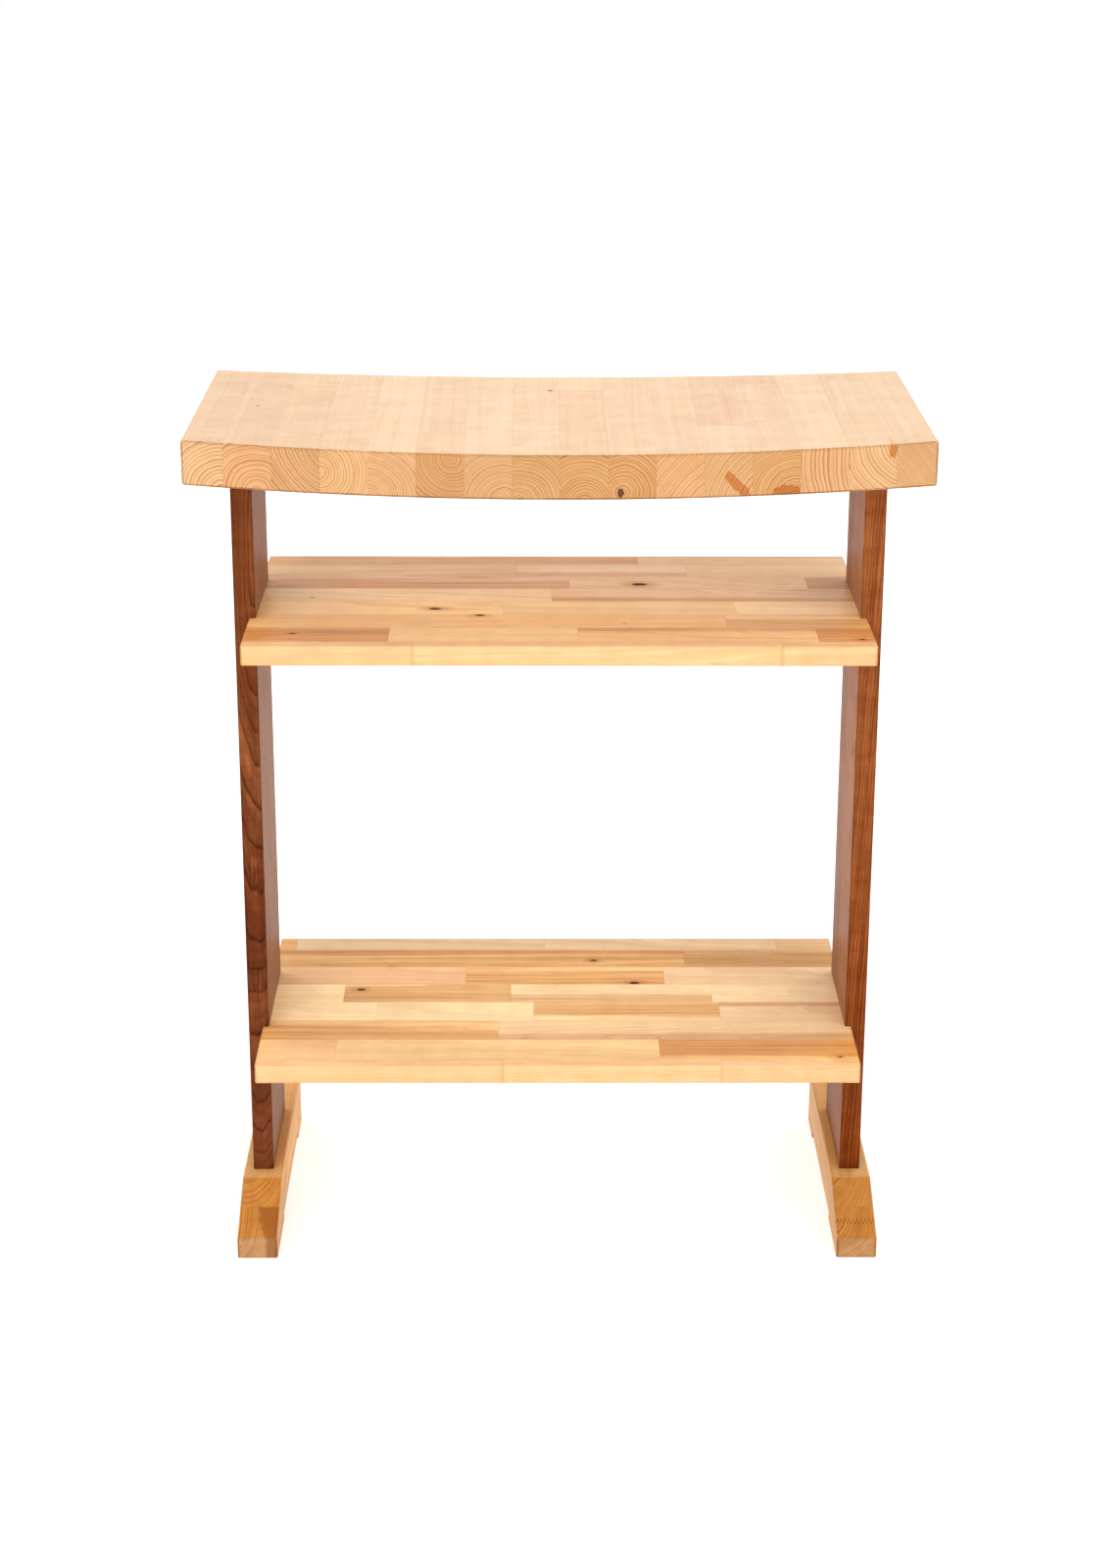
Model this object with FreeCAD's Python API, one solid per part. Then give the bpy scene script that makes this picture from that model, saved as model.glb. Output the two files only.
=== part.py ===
"""Butcher block table: a dished top and two open shelves on two trestle ends.

Axes: +X runs along the top, +Y to the back, +Z up. The origin is on the floor, in the middle.
All sizes are in millimetres. Each piece of wood and each kind of fastener is a node of its own.
"""
import FreeCAD, Part
import math
import os

Vector = FreeCAD.Vector

# ---- Top: edge-glued staves that run from front to back ----
top_length = 635.0
top_depth = 300.0
top_thickness = 38.5
top_height = 770.0            # from the floor to the upper face at the two short ends
front_dish = 12.6             # how far the middle lies under the ends, along the front edge
rear_dish = 6.3               # the same along the rear edge
stave_count = 16
left_end_stave = 35.0         # the outer staves were ripped narrower when the slab was sized
right_end_stave = 34.4
top_easing = 2.0              # radius on the slab's outer edges

# Staves made of more than one length: stave number -> end joints, as shares of the depth
# from the front edge. The other staves are in one length.
stave_end_joints = {
    3: (0.80,),
    4: (0.31,),
    6: (0.26,),
    8: (0.36,),
    9: (0.81,),
    12: (0.32, 0.81),
    13: (0.86,),
    15: (0.49, 0.90),
}

# ---- Shelves: edge-glued strips that run from end to end ----
shelf_depth = 300.0
shelf_thickness = 18.0
upper_shelf_height = 591.0    # from the floor to the shelf's upper face
lower_shelf_height = 197.0
strip_count = 8
front_strip = 13.5            # the outer strips were ripped narrower when the board was sized
rear_strip = 31.5
shelf_easing = 1.2

# End joints of each strip, as shares of the shelf's length from its left end. Row 1 is at
# the front edge.
upper_shelf_joints = (
    (0.27, 0.85),
    (0.23, 0.53, 0.91),
    (0.77,),
    (0.41, 0.79),
    (0.49,),
    (0.52, 0.92),
    (0.43, 0.72),
    (0.64,),
)
lower_shelf_joints = (
    (0.41, 0.77),
    (0.13, 0.67),
    (0.40,),
    (0.19, 0.46, 0.78),
    (0.13, 0.42, 0.77),
    (0.34, 0.69),
    (0.73,),
    (0.03, 0.48, 0.90),
)

# ---- Side panels: upright boards that the shelves are housed in ----
bay_width = 535.0             # between the inner faces of the two panels
panel_thickness = 19.0
panel_depth = 130.0
front_board = 80.0            # width of the front board of the two that make up a panel
housing_depth = 6.0           # of the grooves that hold the shelves
panel_easing = 1.0

# ---- Feet ----
foot_length = 293.0
foot_width = 37.0
foot_height = 50.0
toe_height = 20.0             # of the upright front face
toe_run = 67.0                # length of the slope, measured along the floor
lower_lamination = 35.0       # height of the glue line between the two laminations
relief_height = 7.0           # of the hollow underneath, between the two pads
front_pad = 75.0
rear_pad = 45.0
foot_easing = 1.5

# Finger joint in the lower lamination of the right foot
finger_joint_setback = 21.0   # from the front face to the tips of the fingers
finger_length = 6.0
finger_count = 10

# ---- Dowels between the panels and the top ----
dowel_diameter = 8.0
dowel_length = 40.0
dowel_chamfer = 0.8
dowel_inset = 20.0            # from the panel's front and rear faces to the outer dowels
dowel_fit = 0.2               # by which a dowel's hole is wider than the dowel
dowel_end_room = 1.0          # for glue, at each end of the hole

# ---- Screws and washers that hold the feet on the panels ----
screw_diameter = 6.0
screw_bite = 45.0             # how far the screw reaches into the panel
screw_point = 6.0
screw_spread = 80.0           # between the two screws of a foot
screw_head_diameter = 11.0
screw_head_height = 5.0
hex_socket = 5.0              # across flats
hex_socket_depth = 3.0
shank_fit = 0.5               # by which the foot's hole is wider than the screw
pilot_fit = 0.2               # by which the panel's hole is wider than the screw
washer_diameter = 15.0
washer_thickness = 1.5
washer_fit = 0.4              # by which the washer's hole is wider than the screw
counterbore_depth = 12.0      # from the roof of the hollow under the foot
counterbore_fit = 2.0         # by which the counterbore is wider than the washer

# ---- Worked out from the sizes above ----
inner_face = bay_width / 2
panel_middle = inner_face + panel_thickness / 2
shelf_length = bay_width + 2 * housing_depth
toe_front = -foot_length / 2
washer_seat = relief_height + counterbore_depth
cutter_margin = 10.0          # by which a cutting box stands out past what it cuts


def block(x_from, x_to, y_from, y_to, z_from, z_to):
    """A box between two values on each axis."""
    size = (x_to - x_from, y_to - y_from, z_to - z_from)
    return Part.makeBox(*size, Vector(x_from, y_from, z_from))


def upright_cylinder(x, y, z_from, z_to, diameter):
    """A cylinder that stands on z_from and reaches z_to."""
    return Part.makeCylinder(diameter / 2, z_to - z_from, Vector(x, y, z_from))


def save(name, pieces):
    """Write one node, which may be a group of separate solids."""
    solids = [solid for piece in pieces for solid in piece.Solids]
    shape = solids[0] if len(solids) == 1 else Part.makeCompound(solids)
    shape.exportStep("parts/" + name + ".step")
    print(name, len(solids), "solids", round(shape.Volume), "mm3")


def widths_to_lines(first, last, start, end, count):
    """Glue lines across a board of count pieces whose first and last have their own widths."""
    inner = (end - start - first - last) / (count - 2)
    lines = [start, start + first]
    for _ in range(count - 2):
        lines.append(lines[-1] + inner)
    lines[-1] = end - last
    return lines + [end]


def shares_to_lines(shares, start, end):
    """Places along a piece, from its start to its end, given as shares of its length."""
    return [start] + [start + share * (end - start) for share in shares] + [end]


def slab_section(y, dish):
    """Outline of the top in an upright plane across the staves: two arcs and two short ends."""
    half = top_length / 2
    upper = top_height
    lower = top_height - top_thickness
    upper_arc = Part.Arc(Vector(-half, y, upper), Vector(0, y, upper - dish), Vector(half, y, upper))
    lower_arc = Part.Arc(Vector(half, y, lower), Vector(0, y, lower - dish), Vector(-half, y, lower))
    edges = [
        upper_arc.toShape(),
        Part.makeLine(Vector(half, y, upper), Vector(half, y, lower)),
        lower_arc.toShape(),
        Part.makeLine(Vector(-half, y, lower), Vector(-half, y, upper)),
    ]
    return Part.Wire(edges)


def make_slab(eased):
    """The whole top before it is divided into staves, with its outer edges eased or square."""
    front = slab_section(-top_depth / 2, front_dish)
    rear = slab_section(top_depth / 2, rear_dish)
    slab = Part.makeLoft([front, rear], True, True)
    if eased:
        slab = slab.makeFillet(top_easing, slab.Edges)
    return slab


def dowel_places():
    """Centres of the dowels along Y in each panel."""
    outer = panel_depth / 2 - dowel_inset
    return (-outer, 0.0, outer)


def screw_places():
    """Centres of the screws along Y in each foot."""
    return (-screw_spread / 2, screw_spread / 2)


def underside_height(x, y):
    """Height of the top's underside over a point of the floor."""
    back_share = y / top_depth + 0.5
    dish = front_dish + back_share * (rear_dish - front_dish)
    half = top_length / 2

    # The rise of an arc of this dish at x, measured from its lowest point.
    radius = (half ** 2 + dish ** 2) / (2 * dish)
    rise = radius - math.sqrt(radius ** 2 - x ** 2)
    return top_height - top_thickness - dish + rise


def make_dowel(x, y):
    """One dowel, half in the panel and half in the top, with chamfered ends."""
    middle = underside_height(x, y)
    dowel = upright_cylinder(x, y, middle - dowel_length / 2, middle + dowel_length / 2, dowel_diameter)
    rims = [edge for edge in dowel.Edges if edge.Closed]
    return dowel.makeChamfer(dowel_chamfer, rims)


def make_dowel_hole(x, y):
    """The hole for one dowel, in the panel and the top alike."""
    middle = underside_height(x, y)
    reach = dowel_length / 2 + dowel_end_room
    return upright_cylinder(x, y, middle - reach, middle + reach, dowel_diameter + dowel_fit)


def make_top(holes):
    """The staves, each as a list of one or more lengths."""
    slab = make_slab(eased=True).cut(Part.makeCompound(holes))
    half_depth = top_depth / 2
    lines = widths_to_lines(left_end_stave, right_end_stave, -top_length / 2, top_length / 2, stave_count)
    for number in range(1, stave_count + 1):
        ends = shares_to_lines(stave_end_joints.get(number, ()), -half_depth, half_depth)
        lengths = []
        for y_from, y_to in zip(ends, ends[1:]):
            cell = block(lines[number - 1], lines[number], y_from, y_to, 0, top_height + cutter_margin)
            lengths.append(slab.common(cell))
        save("top_stave_%02d" % number, lengths)


def make_shelf(name, height, joints):
    """One shelf: a row of strips, each as a list of lengths. height is that of its upper face."""
    half_length = shelf_length / 2
    half_depth = shelf_depth / 2
    bottom = height - shelf_thickness
    board = block(-half_length, half_length, -half_depth, half_depth, bottom, height)
    board = board.makeFillet(shelf_easing, board.Edges)
    lines = widths_to_lines(front_strip, rear_strip, -half_depth, half_depth, strip_count)
    for number in range(1, strip_count + 1):
        ends = shares_to_lines(joints[number - 1], -half_length, half_length)
        lengths = []
        for x_from, x_to in zip(ends, ends[1:]):
            cell = block(x_from, x_to, lines[number - 1], lines[number], bottom, height)
            lengths.append(board.common(cell))
        save("%s_strip_%d" % (name, number), lengths)


def make_panel(name, side, slab, holes):
    """The two boards of one panel. side is -1 for the left and 1 for the right."""
    half_depth = panel_depth / 2
    inner = side * inner_face
    outer = side * (inner_face + panel_thickness)
    crown = top_height - top_thickness / 2
    panel = block(min(inner, outer), max(inner, outer), -half_depth, half_depth, foot_height, crown)
    corners = [edge for edge in panel.Edges if abs(edge.BoundBox.ZLength) > crown / 2]
    panel = panel.makeFillet(panel_easing, corners)
    groove_floor = side * (inner_face + housing_depth)
    groove_mouth = side * (inner_face - cutter_margin)
    for height in (upper_shelf_height, lower_shelf_height):
        low_x = min(groove_floor, groove_mouth)
        high_x = max(groove_floor, groove_mouth)
        groove = block(low_x, high_x, -panel_depth, panel_depth, height - shelf_thickness, height)
        panel = panel.cut(groove)
    panel = panel.cut(slab).cut(Part.makeCompound(holes))
    glue_line = front_board - half_depth
    low_x = min(inner, outer) - cutter_margin
    high_x = max(inner, outer) + cutter_margin
    front_cell = block(low_x, high_x, -panel_depth, glue_line, 0, top_height)
    rear_cell = block(low_x, high_x, glue_line, panel_depth, 0, top_height)
    save(name + "_panel_front_board", [panel.common(front_cell)])
    save(name + "_panel_rear_board", [panel.common(rear_cell)])


def foot_outline(x):
    """Outline of a foot seen from the side: sloping toe, square heel, hollow underneath."""
    heel = foot_length / 2
    points = [
        (toe_front, 0),
        (toe_front, toe_height),
        (toe_front + toe_run, foot_height),
        (heel, foot_height),
        (heel, 0),
        (heel - rear_pad, 0),
        (heel - rear_pad, relief_height),
        (toe_front + front_pad, relief_height),
        (toe_front + front_pad, 0),
    ]
    corners = [Vector(x, y, z) for y, z in points]
    return Part.Face(Part.makePolygon(corners + corners[:1]))


def edges_to_ease(foot):
    """The foot's edges that a hand meets: all but those of the hollow and the two pads."""
    chosen = []
    for edge in foot.Edges:
        box = edge.BoundBox
        at_an_end = box.YLength < foot_easing and abs(abs(box.YMin) - foot_length / 2) < foot_easing
        if at_an_end or box.ZMin > relief_height + foot_easing:
            chosen.append(edge)
    return chosen


def finger_cutter(x_from, x_to):
    """All that lies in front of the finger joint: a block whose rear face is a row of fingers."""
    tips = toe_front + finger_joint_setback
    roots = tips - finger_length
    pitch = (x_to - x_from) / finger_count
    points = [Vector(x_from, toe_front - cutter_margin, 0), Vector(x_from, roots, 0)]
    for finger in range(finger_count):
        start = x_from + finger * pitch
        points.append(Vector(start + pitch / 2, tips, 0))
        points.append(Vector(start + pitch, roots, 0))
    points.append(Vector(x_to, toe_front - cutter_margin, 0))
    outline = Part.Face(Part.makePolygon(points + points[:1]))
    return outline.extrude(Vector(0, 0, lower_lamination))


def make_screw_holes(side):
    """Everything that the screws of one foot need room for, in the foot and in the panel."""
    x = side * panel_middle
    tools = []
    for y in screw_places():
        bore_width = washer_diameter + counterbore_fit
        tools.append(upright_cylinder(x, y, 0, washer_seat, bore_width))
        tools.append(upright_cylinder(x, y, washer_seat, foot_height, screw_diameter + shank_fit))
        tip = foot_height + screw_bite + pilot_fit
        tools.append(upright_cylinder(x, y, foot_height, tip, screw_diameter + pilot_fit))
    return tools


def make_screw(x, y):
    """A screw with a round head and a hexagon socket, which points upward."""
    head_top = washer_seat - washer_thickness
    head = upright_cylinder(x, y, head_top - screw_head_height, head_top, screw_head_diameter)
    shank_end = foot_height + screw_bite - screw_point
    shank = upright_cylinder(x, y, head_top, shank_end, screw_diameter)
    point = Part.makeCone(screw_diameter / 2, screw_diameter / 10, screw_point, Vector(x, y, shank_end))
    screw = head.fuse([shank, point]).removeSplitter()
    corner = hex_socket / math.sqrt(3)
    base = head_top - screw_head_height
    corners = []
    for index in range(6):
        angle = math.radians(60 * index)
        corners.append(Vector(x + corner * math.cos(angle), y + corner * math.sin(angle), base))
    socket = Part.Face(Part.makePolygon(corners + corners[:1])).extrude(Vector(0, 0, hex_socket_depth))
    return screw.cut(socket)


def make_washer(x, y):
    """The washer between a screw's head and the foot."""
    bottom = washer_seat - washer_thickness
    ring = upright_cylinder(x, y, bottom, washer_seat, washer_diameter)
    return ring.cut(upright_cylinder(x, y, bottom, washer_seat, screw_diameter + washer_fit))


def make_foot(name, side, screw_holes, finger_jointed):
    """One foot, divided into its laminations and, where it is finger jointed, its toe block."""
    x_from = side * panel_middle - foot_width / 2
    x_to = x_from + foot_width
    foot = foot_outline(x_from).extrude(Vector(foot_width, 0, 0))
    foot = foot.makeFillet(foot_easing, edges_to_ease(foot))
    foot = foot.cut(Part.makeCompound(screw_holes))
    low_x = x_from - cutter_margin
    high_x = x_to + cutter_margin
    lower = foot.common(block(low_x, high_x, -foot_length, foot_length, 0, lower_lamination))
    upper = foot.common(block(low_x, high_x, -foot_length, foot_length, lower_lamination, foot_height))
    save(name + "_foot_upper", [upper])
    if finger_jointed:
        cutter = finger_cutter(x_from, x_to)
        save(name + "_foot_toe_block", [lower.common(cutter)])
        lower = lower.cut(cutter)
    save(name + "_foot_lower", [lower])


def main():
    """Build every piece and write it out."""
    os.makedirs("parts", exist_ok=True)
    slab = make_slab(eased=False)
    sides = {"left": -1, "right": 1}
    dowels = []
    dowel_holes = []
    screws = []
    washers = []
    for name, side in sides.items():
        x = side * panel_middle
        side_dowel_holes = [make_dowel_hole(x, y) for y in dowel_places()]
        screw_holes = make_screw_holes(side)
        make_panel(name, side, slab, side_dowel_holes + screw_holes)
        make_foot(name, side, screw_holes, finger_jointed=(name == "right"))
        dowels += [make_dowel(x, y) for y in dowel_places()]
        dowel_holes += side_dowel_holes
        screws += [make_screw(x, y) for y in screw_places()]
        washers += [make_washer(x, y) for y in screw_places()]
    make_top(dowel_holes)
    make_shelf("upper_shelf", upper_shelf_height, upper_shelf_joints)
    make_shelf("lower_shelf", lower_shelf_height, lower_shelf_joints)
    save("top_dowels", dowels)
    save("foot_screws", screws)
    save("foot_washers", washers)


main()
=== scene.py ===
"""Looks of the butcher block table: timber, finishes, studio floor, light and camera.

Every length of timber is a piece of its own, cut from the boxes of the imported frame. Grain,
growth rings, heartwood, knots and glue lines follow each board's own place and pith, so that
a board's end grain and its long grain belong together.
"""

import logging
import math
import random
from dataclasses import dataclass, field
from enum import Enum
from typing import Callable, Iterator, Sequence

import bmesh
import bpy
from mathutils import Matrix, Vector, noise


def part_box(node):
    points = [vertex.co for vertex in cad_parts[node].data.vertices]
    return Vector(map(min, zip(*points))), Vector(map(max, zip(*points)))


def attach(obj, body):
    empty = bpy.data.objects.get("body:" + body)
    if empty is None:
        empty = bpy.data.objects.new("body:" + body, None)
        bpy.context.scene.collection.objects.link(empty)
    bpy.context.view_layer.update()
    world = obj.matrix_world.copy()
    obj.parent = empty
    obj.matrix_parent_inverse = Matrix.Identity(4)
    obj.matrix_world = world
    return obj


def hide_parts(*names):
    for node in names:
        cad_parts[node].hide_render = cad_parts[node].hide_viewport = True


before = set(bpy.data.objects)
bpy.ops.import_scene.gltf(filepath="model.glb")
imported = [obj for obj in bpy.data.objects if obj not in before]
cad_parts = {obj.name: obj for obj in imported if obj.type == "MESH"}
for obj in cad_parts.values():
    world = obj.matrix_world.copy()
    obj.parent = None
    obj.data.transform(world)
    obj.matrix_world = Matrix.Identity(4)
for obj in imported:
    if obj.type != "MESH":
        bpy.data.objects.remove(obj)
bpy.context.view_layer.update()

logging.basicConfig(level=logging.INFO, format="%(message)s")
log = logging.getLogger("table")

Socket = bpy.types.NodeSocket
Colour = tuple[float, float, float]
Triple = tuple[float, float, float]
MM = 0.001
BODY = "root"
SAME_PLANE = 0.05 * MM
RELIEF_DEPTH = 0.12 * MM
SHARP_ANGLE = math.radians(35)
EASED_ANGLE = math.radians(15)

# How much of its darkening an eased edge shows, by the way it faces: partly burnish and partly painted
# shade, so edges that face down are painted darkest and edges that face up lightest.
UPPER_EDGE_BURNISH_AND_SHADE = 0.25
SIDE_EDGE_BURNISH_AND_SHADE = 0.7
LOWER_EDGE_BURNISH_AND_SHADE = 1.0

PITCH_BROWN = (0.16, 0.05, 0.022)
PORE_BROWN = (0.38, 0.28, 0.22)
HALO_BROWN = (0.70, 0.46, 0.26)
KNOT_BROWN = (0.060, 0.022, 0.008)
GLUE_BROWN = (0.46, 0.28, 0.14)
WHITE = (1.0, 1.0, 1.0)


# ---------------------------------------------------------------- shader graph helper


class Graph:
    """A shader node tree with short calls for the nodes that the finishes are made of."""

    def __init__(self, tree: bpy.types.NodeTree) -> None:
        """Work on one node tree."""
        self.tree = tree

    def node(self, kind: str, **settings: object) -> bpy.types.Node:
        """Add a node.

        Args:
            kind: the node type without its ShaderNode prefix.
            settings: properties of the node to set.
        Returns:
            The new node.
        """
        new = self.tree.nodes.new("ShaderNode" + kind)
        for name, value in settings.items():
            setattr(new, name, value)
        return new

    def feed(self, socket: Socket, value: object) -> None:
        """Link a socket to value, or set it to value where that is a plain number or vector."""
        if isinstance(value, bpy.types.NodeSocket):
            self.tree.links.new(value, socket)
        elif value is not None:
            socket.default_value = value

    def math(self, operation: str, first: object, second: object = None) -> Socket:
        """The result of one Math node."""
        new = self.node("Math", operation=operation)
        self.feed(new.inputs[0], first)
        self.feed(new.inputs[1], second)
        return new.outputs[0]

    def vector(self, operation: str, first: object, second: object = None, scale: object = None) -> Socket:
        """The result of one Vector Math node; a length gives a value."""
        new = self.node("VectorMath", operation=operation)
        self.feed(new.inputs[0], first)
        self.feed(new.inputs[1], second)
        self.feed(new.inputs[3], scale)
        return new.outputs[1 if operation == "LENGTH" else 0]

    def split(self, vector: object) -> tuple[Socket, Socket, Socket]:
        """The three parts of a vector."""
        new = self.node("SeparateXYZ")
        self.feed(new.inputs[0], vector)
        return new.outputs[0], new.outputs[1], new.outputs[2]

    def join(self, x: object, y: object, z: object) -> Socket:
        """A vector from three values."""
        new = self.node("CombineXYZ")
        for socket, value in zip(new.inputs, (x, y, z)):
            self.feed(socket, value)
        return new.outputs[0]

    def noise(self, place: object, detail: float = 2.0, rough: float = 0.5, colour: bool = False) -> Socket:
        """Three-dimensional noise at a place, as a value or, with colour, as a vector of three."""
        new = self.node("TexNoise", noise_dimensions="3D")
        self.feed(new.inputs["Vector"], place)
        new.inputs["Scale"].default_value = 1.0
        new.inputs["Detail"].default_value = detail
        new.inputs["Roughness"].default_value = rough
        return new.outputs[1 if colour else 0]

    def stretched(self, place: object, scale: Triple, seed: object) -> Socket:
        """A place with its own scale along, across and through the board, moved by a seed."""
        return self.vector("ADD", self.vector("MULTIPLY", place, scale), seed)

    def line_noise(self, along: object) -> Socket:
        """One-dimensional noise at a value."""
        new = self.node("TexNoise", noise_dimensions="1D")
        self.feed(new.inputs["W"], along)
        new.inputs["Scale"].default_value = 1.0
        new.inputs["Detail"].default_value = 1.0
        return new.outputs[0]

    def remap(self, value: object, low: object, high: object, to_low: object = 0.0,
              to_high: object = 1.0, smooth: bool = False) -> Socket:
        """Map low..high to to_low..to_high, clamped, in a straight line or with soft ends."""
        kind = "SMOOTHSTEP" if smooth else "LINEAR"
        new = self.node("MapRange", interpolation_type=kind, clamp=True)
        for socket, given in zip(new.inputs, (value, low, high, to_low, to_high)):
            self.feed(socket, given)
        return new.outputs[0]

    def mix(self, factor: object, first: object, second: object, blend: str = "MIX") -> Socket:
        """Mix two colours."""
        new = self.node("Mix", data_type="RGBA", blend_type=blend, clamp_factor=True)
        self.feed(new.inputs[0], factor)
        self.feed(new.inputs[6], opaque(first))
        self.feed(new.inputs[7], opaque(second))
        return new.outputs[2]

    def attribute(self, name: str, output: str = "Vector") -> Socket:
        """A mesh attribute written by the boards."""
        return self.node("Attribute", attribute_type="GEOMETRY", attribute_name=name).outputs[output]

    def surface(self, shader: bpy.types.Node) -> None:
        """Make a shader the material's surface."""
        output = self.node("OutputMaterial")
        self.feed(output.inputs["Surface"], shader.outputs["BSDF"])

    def group(self, tree: bpy.types.NodeTree, **values: object) -> bpy.types.Node:
        """Place a node group; an input's name is given in lower case with underscores."""
        new = self.node("Group", node_tree=tree)
        for name, value in values.items():
            self.feed(new.inputs[name.replace("_", " ").title()], value)
        return new


def opaque(colour: object) -> object:
    """A plain colour with its alpha added; anything else is left as it is."""
    if isinstance(colour, (tuple, list)) and len(colour) == 3:
        return (*colour, 1.0)
    return colour


def new_material(name: str) -> tuple[bpy.types.Material, Graph]:
    """Make an empty material and the graph of its nodes."""
    material = bpy.data.materials.new(name)
    material.use_nodes = True
    material.node_tree.nodes.clear()
    return material, Graph(material.node_tree)


SOCKET_KINDS = {"value": "NodeSocketFloat", "vector": "NodeSocketVector", "colour": "NodeSocketColor"}


def new_group(name: str, inputs: dict[str, str], outputs: dict[str, str]) -> tuple:
    """Make an empty shader node group.

    Args:
        name: the group's name.
        inputs: input names and their kinds, from SOCKET_KINDS.
        outputs: output names and their kinds.
    Returns:
        The tree, its graph, its inputs by name and its output node.
    """
    tree = bpy.data.node_groups.new(name, "ShaderNodeTree")
    for side, sockets in (("INPUT", inputs), ("OUTPUT", outputs)):
        for socket_name, kind in sockets.items():
            tree.interface.new_socket(socket_name, in_out=side, socket_type=SOCKET_KINDS[kind])
    graph = Graph(tree)
    entry = tree.nodes.new("NodeGroupInput")
    leave = tree.nodes.new("NodeGroupOutput")
    return tree, graph, entry.outputs, leave


# ---------------------------------------------------------------- shared effects


class Effects:
    """The node groups that the timber finishes share. Lengths inside them are in millimetres."""

    def __init__(self) -> None:
        """Build every group once."""
        self.rings = self._rings()
        self.fibres = self._fibres()
        self.heartwood = self._heartwood()
        self.knots = self._knots()
        self.stain = self._stain()
        self.glue = self._glue()
        self.handling = self._handling()
        self.wear = self._wear()

    @staticmethod
    def _rings() -> bpy.types.NodeTree:
        """Growth rings about a pith that runs along the board."""
        tree, g, given, leave = new_group(
            "growth_rings",
            {"Place": "vector", "Pith": "vector", "Lean": "vector", "Seed": "vector", "Wander": "value"},
            {"Ring": "value", "Band": "value", "Flow": "value"},
        )
        slow = g.stretched(given["Place"], (0.0035, 0.018, 0.018), given["Seed"])
        drift = g.vector("SUBTRACT", g.noise(slow, 1.5, 0.5, colour=True), (0.5, 0.5, 0.5))
        near = g.stretched(given["Place"], (0.02, 0.16, 0.16), given["Seed"])
        ripple = g.vector("SUBTRACT", g.noise(near, 2.0, 0.5, colour=True), (0.5, 0.5, 0.5))
        moved = g.vector("ADD", given["Place"], g.vector("SCALE", drift, scale=given["Wander"]))
        moved = g.vector("ADD", moved, g.vector("SCALE", ripple, scale=1.6))
        along, across, deep = g.split(moved)
        lean_across, lean_deep, bow = g.split(given["Lean"])
        bowed = g.math("MULTIPLY", g.math("POWER", g.math("ABSOLUTE", along), 2.0), bow)
        across = g.math("SUBTRACT", across, g.math("MULTIPLY", along, lean_across))
        deep = g.math("SUBTRACT", g.math("SUBTRACT", deep, g.math("MULTIPLY", along, lean_deep)), bowed)
        pith_across, pith_deep, spacing = g.split(given["Pith"])
        seed_x, seed_y, _ = g.split(given["Seed"])
        side = g.math("SUBTRACT", across, pith_across)
        rise = g.math("SUBTRACT", deep, pith_deep)
        radius = g.math("SQRT", g.math("ADD", g.math("POWER", g.math("ABSOLUTE", side), 2.0),
                                       g.math("POWER", g.math("ABSOLUTE", rise), 2.0)))
        years = g.math("DIVIDE", radius, spacing)
        uneven = g.line_noise(g.math("ADD", g.math("MULTIPLY", years, 0.45), seed_x))
        phase = g.math("ADD", years, g.math("MULTIPLY", uneven, 1.3))
        saw = g.math("FRACT", phase)
        late = g.math("ADD", g.math("MULTIPLY", g.math("POWER", saw, 2.0), 0.16),
                      g.math("MULTIPLY", g.math("POWER", saw, 9.0), 1.45))
        fall = g.remap(saw, 0.95, 1.0, 1.0, 0.0)
        weight = g.line_noise(g.math("ADD", g.math("MULTIPLY", g.math("FLOOR", phase), 0.71), seed_y))
        line = g.math("MULTIPLY", g.math("MULTIPLY", late, fall), g.remap(weight, 0.3, 0.7, 0.6, 1.15))
        finer = g.math("POWER", g.math("FRACT", g.math("MULTIPLY", phase, 3.0)), 4.0)
        line = g.math("ADD", line, g.math("MULTIPLY", finer, 0.22))
        band = g.line_noise(g.math("ADD", g.math("MULTIPLY", phase, 0.37), seed_y))
        flow = g.line_noise(g.math("ADD", g.math("MULTIPLY", phase, 1.9), seed_x))
        g.feed(leave.inputs["Ring"], line)
        g.feed(leave.inputs["Band"], band)
        g.feed(leave.inputs["Flow"], flow)
        return tree

    @staticmethod
    def _fibres() -> bpy.types.NodeTree:
        """Fine fibres and broad light and dark streaks along the board, and open pores."""
        tree, g, given, leave = new_group(
            "fibres",
            {"Place": "vector", "Seed": "vector"},
            {"Fine": "value", "Broad": "value", "Pores": "value", "Figure": "value"},
        )

        def stretched(scale: Triple) -> Socket:
            """The board's place with its own scale along, across and through the board."""
            return g.stretched(given["Place"], scale, given["Seed"])

        fine = g.noise(stretched((0.03, 1.3, 1.3)), 4.0, 0.65)
        broad = g.noise(stretched((0.0028, 0.11, 0.11)), 3.0, 0.55)
        speck = g.noise(stretched((0.14, 2.6, 2.6)), 2.0, 0.6)
        clusters = g.noise(stretched((0.008, 0.2, 0.2)), 1.0, 0.5)
        pores = g.math("MULTIPLY", g.remap(speck, 0.6, 0.72), g.remap(clusters, 0.35, 0.65, 0.3, 1.0))
        figure = g.noise(stretched((0.05, 0.022, 0.022)), 3.0, 0.6)
        g.feed(leave.inputs["Fine"], fine)
        g.feed(leave.inputs["Broad"], broad)
        g.feed(leave.inputs["Pores"], pores)
        g.feed(leave.inputs["Figure"], figure)
        return tree

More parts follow.
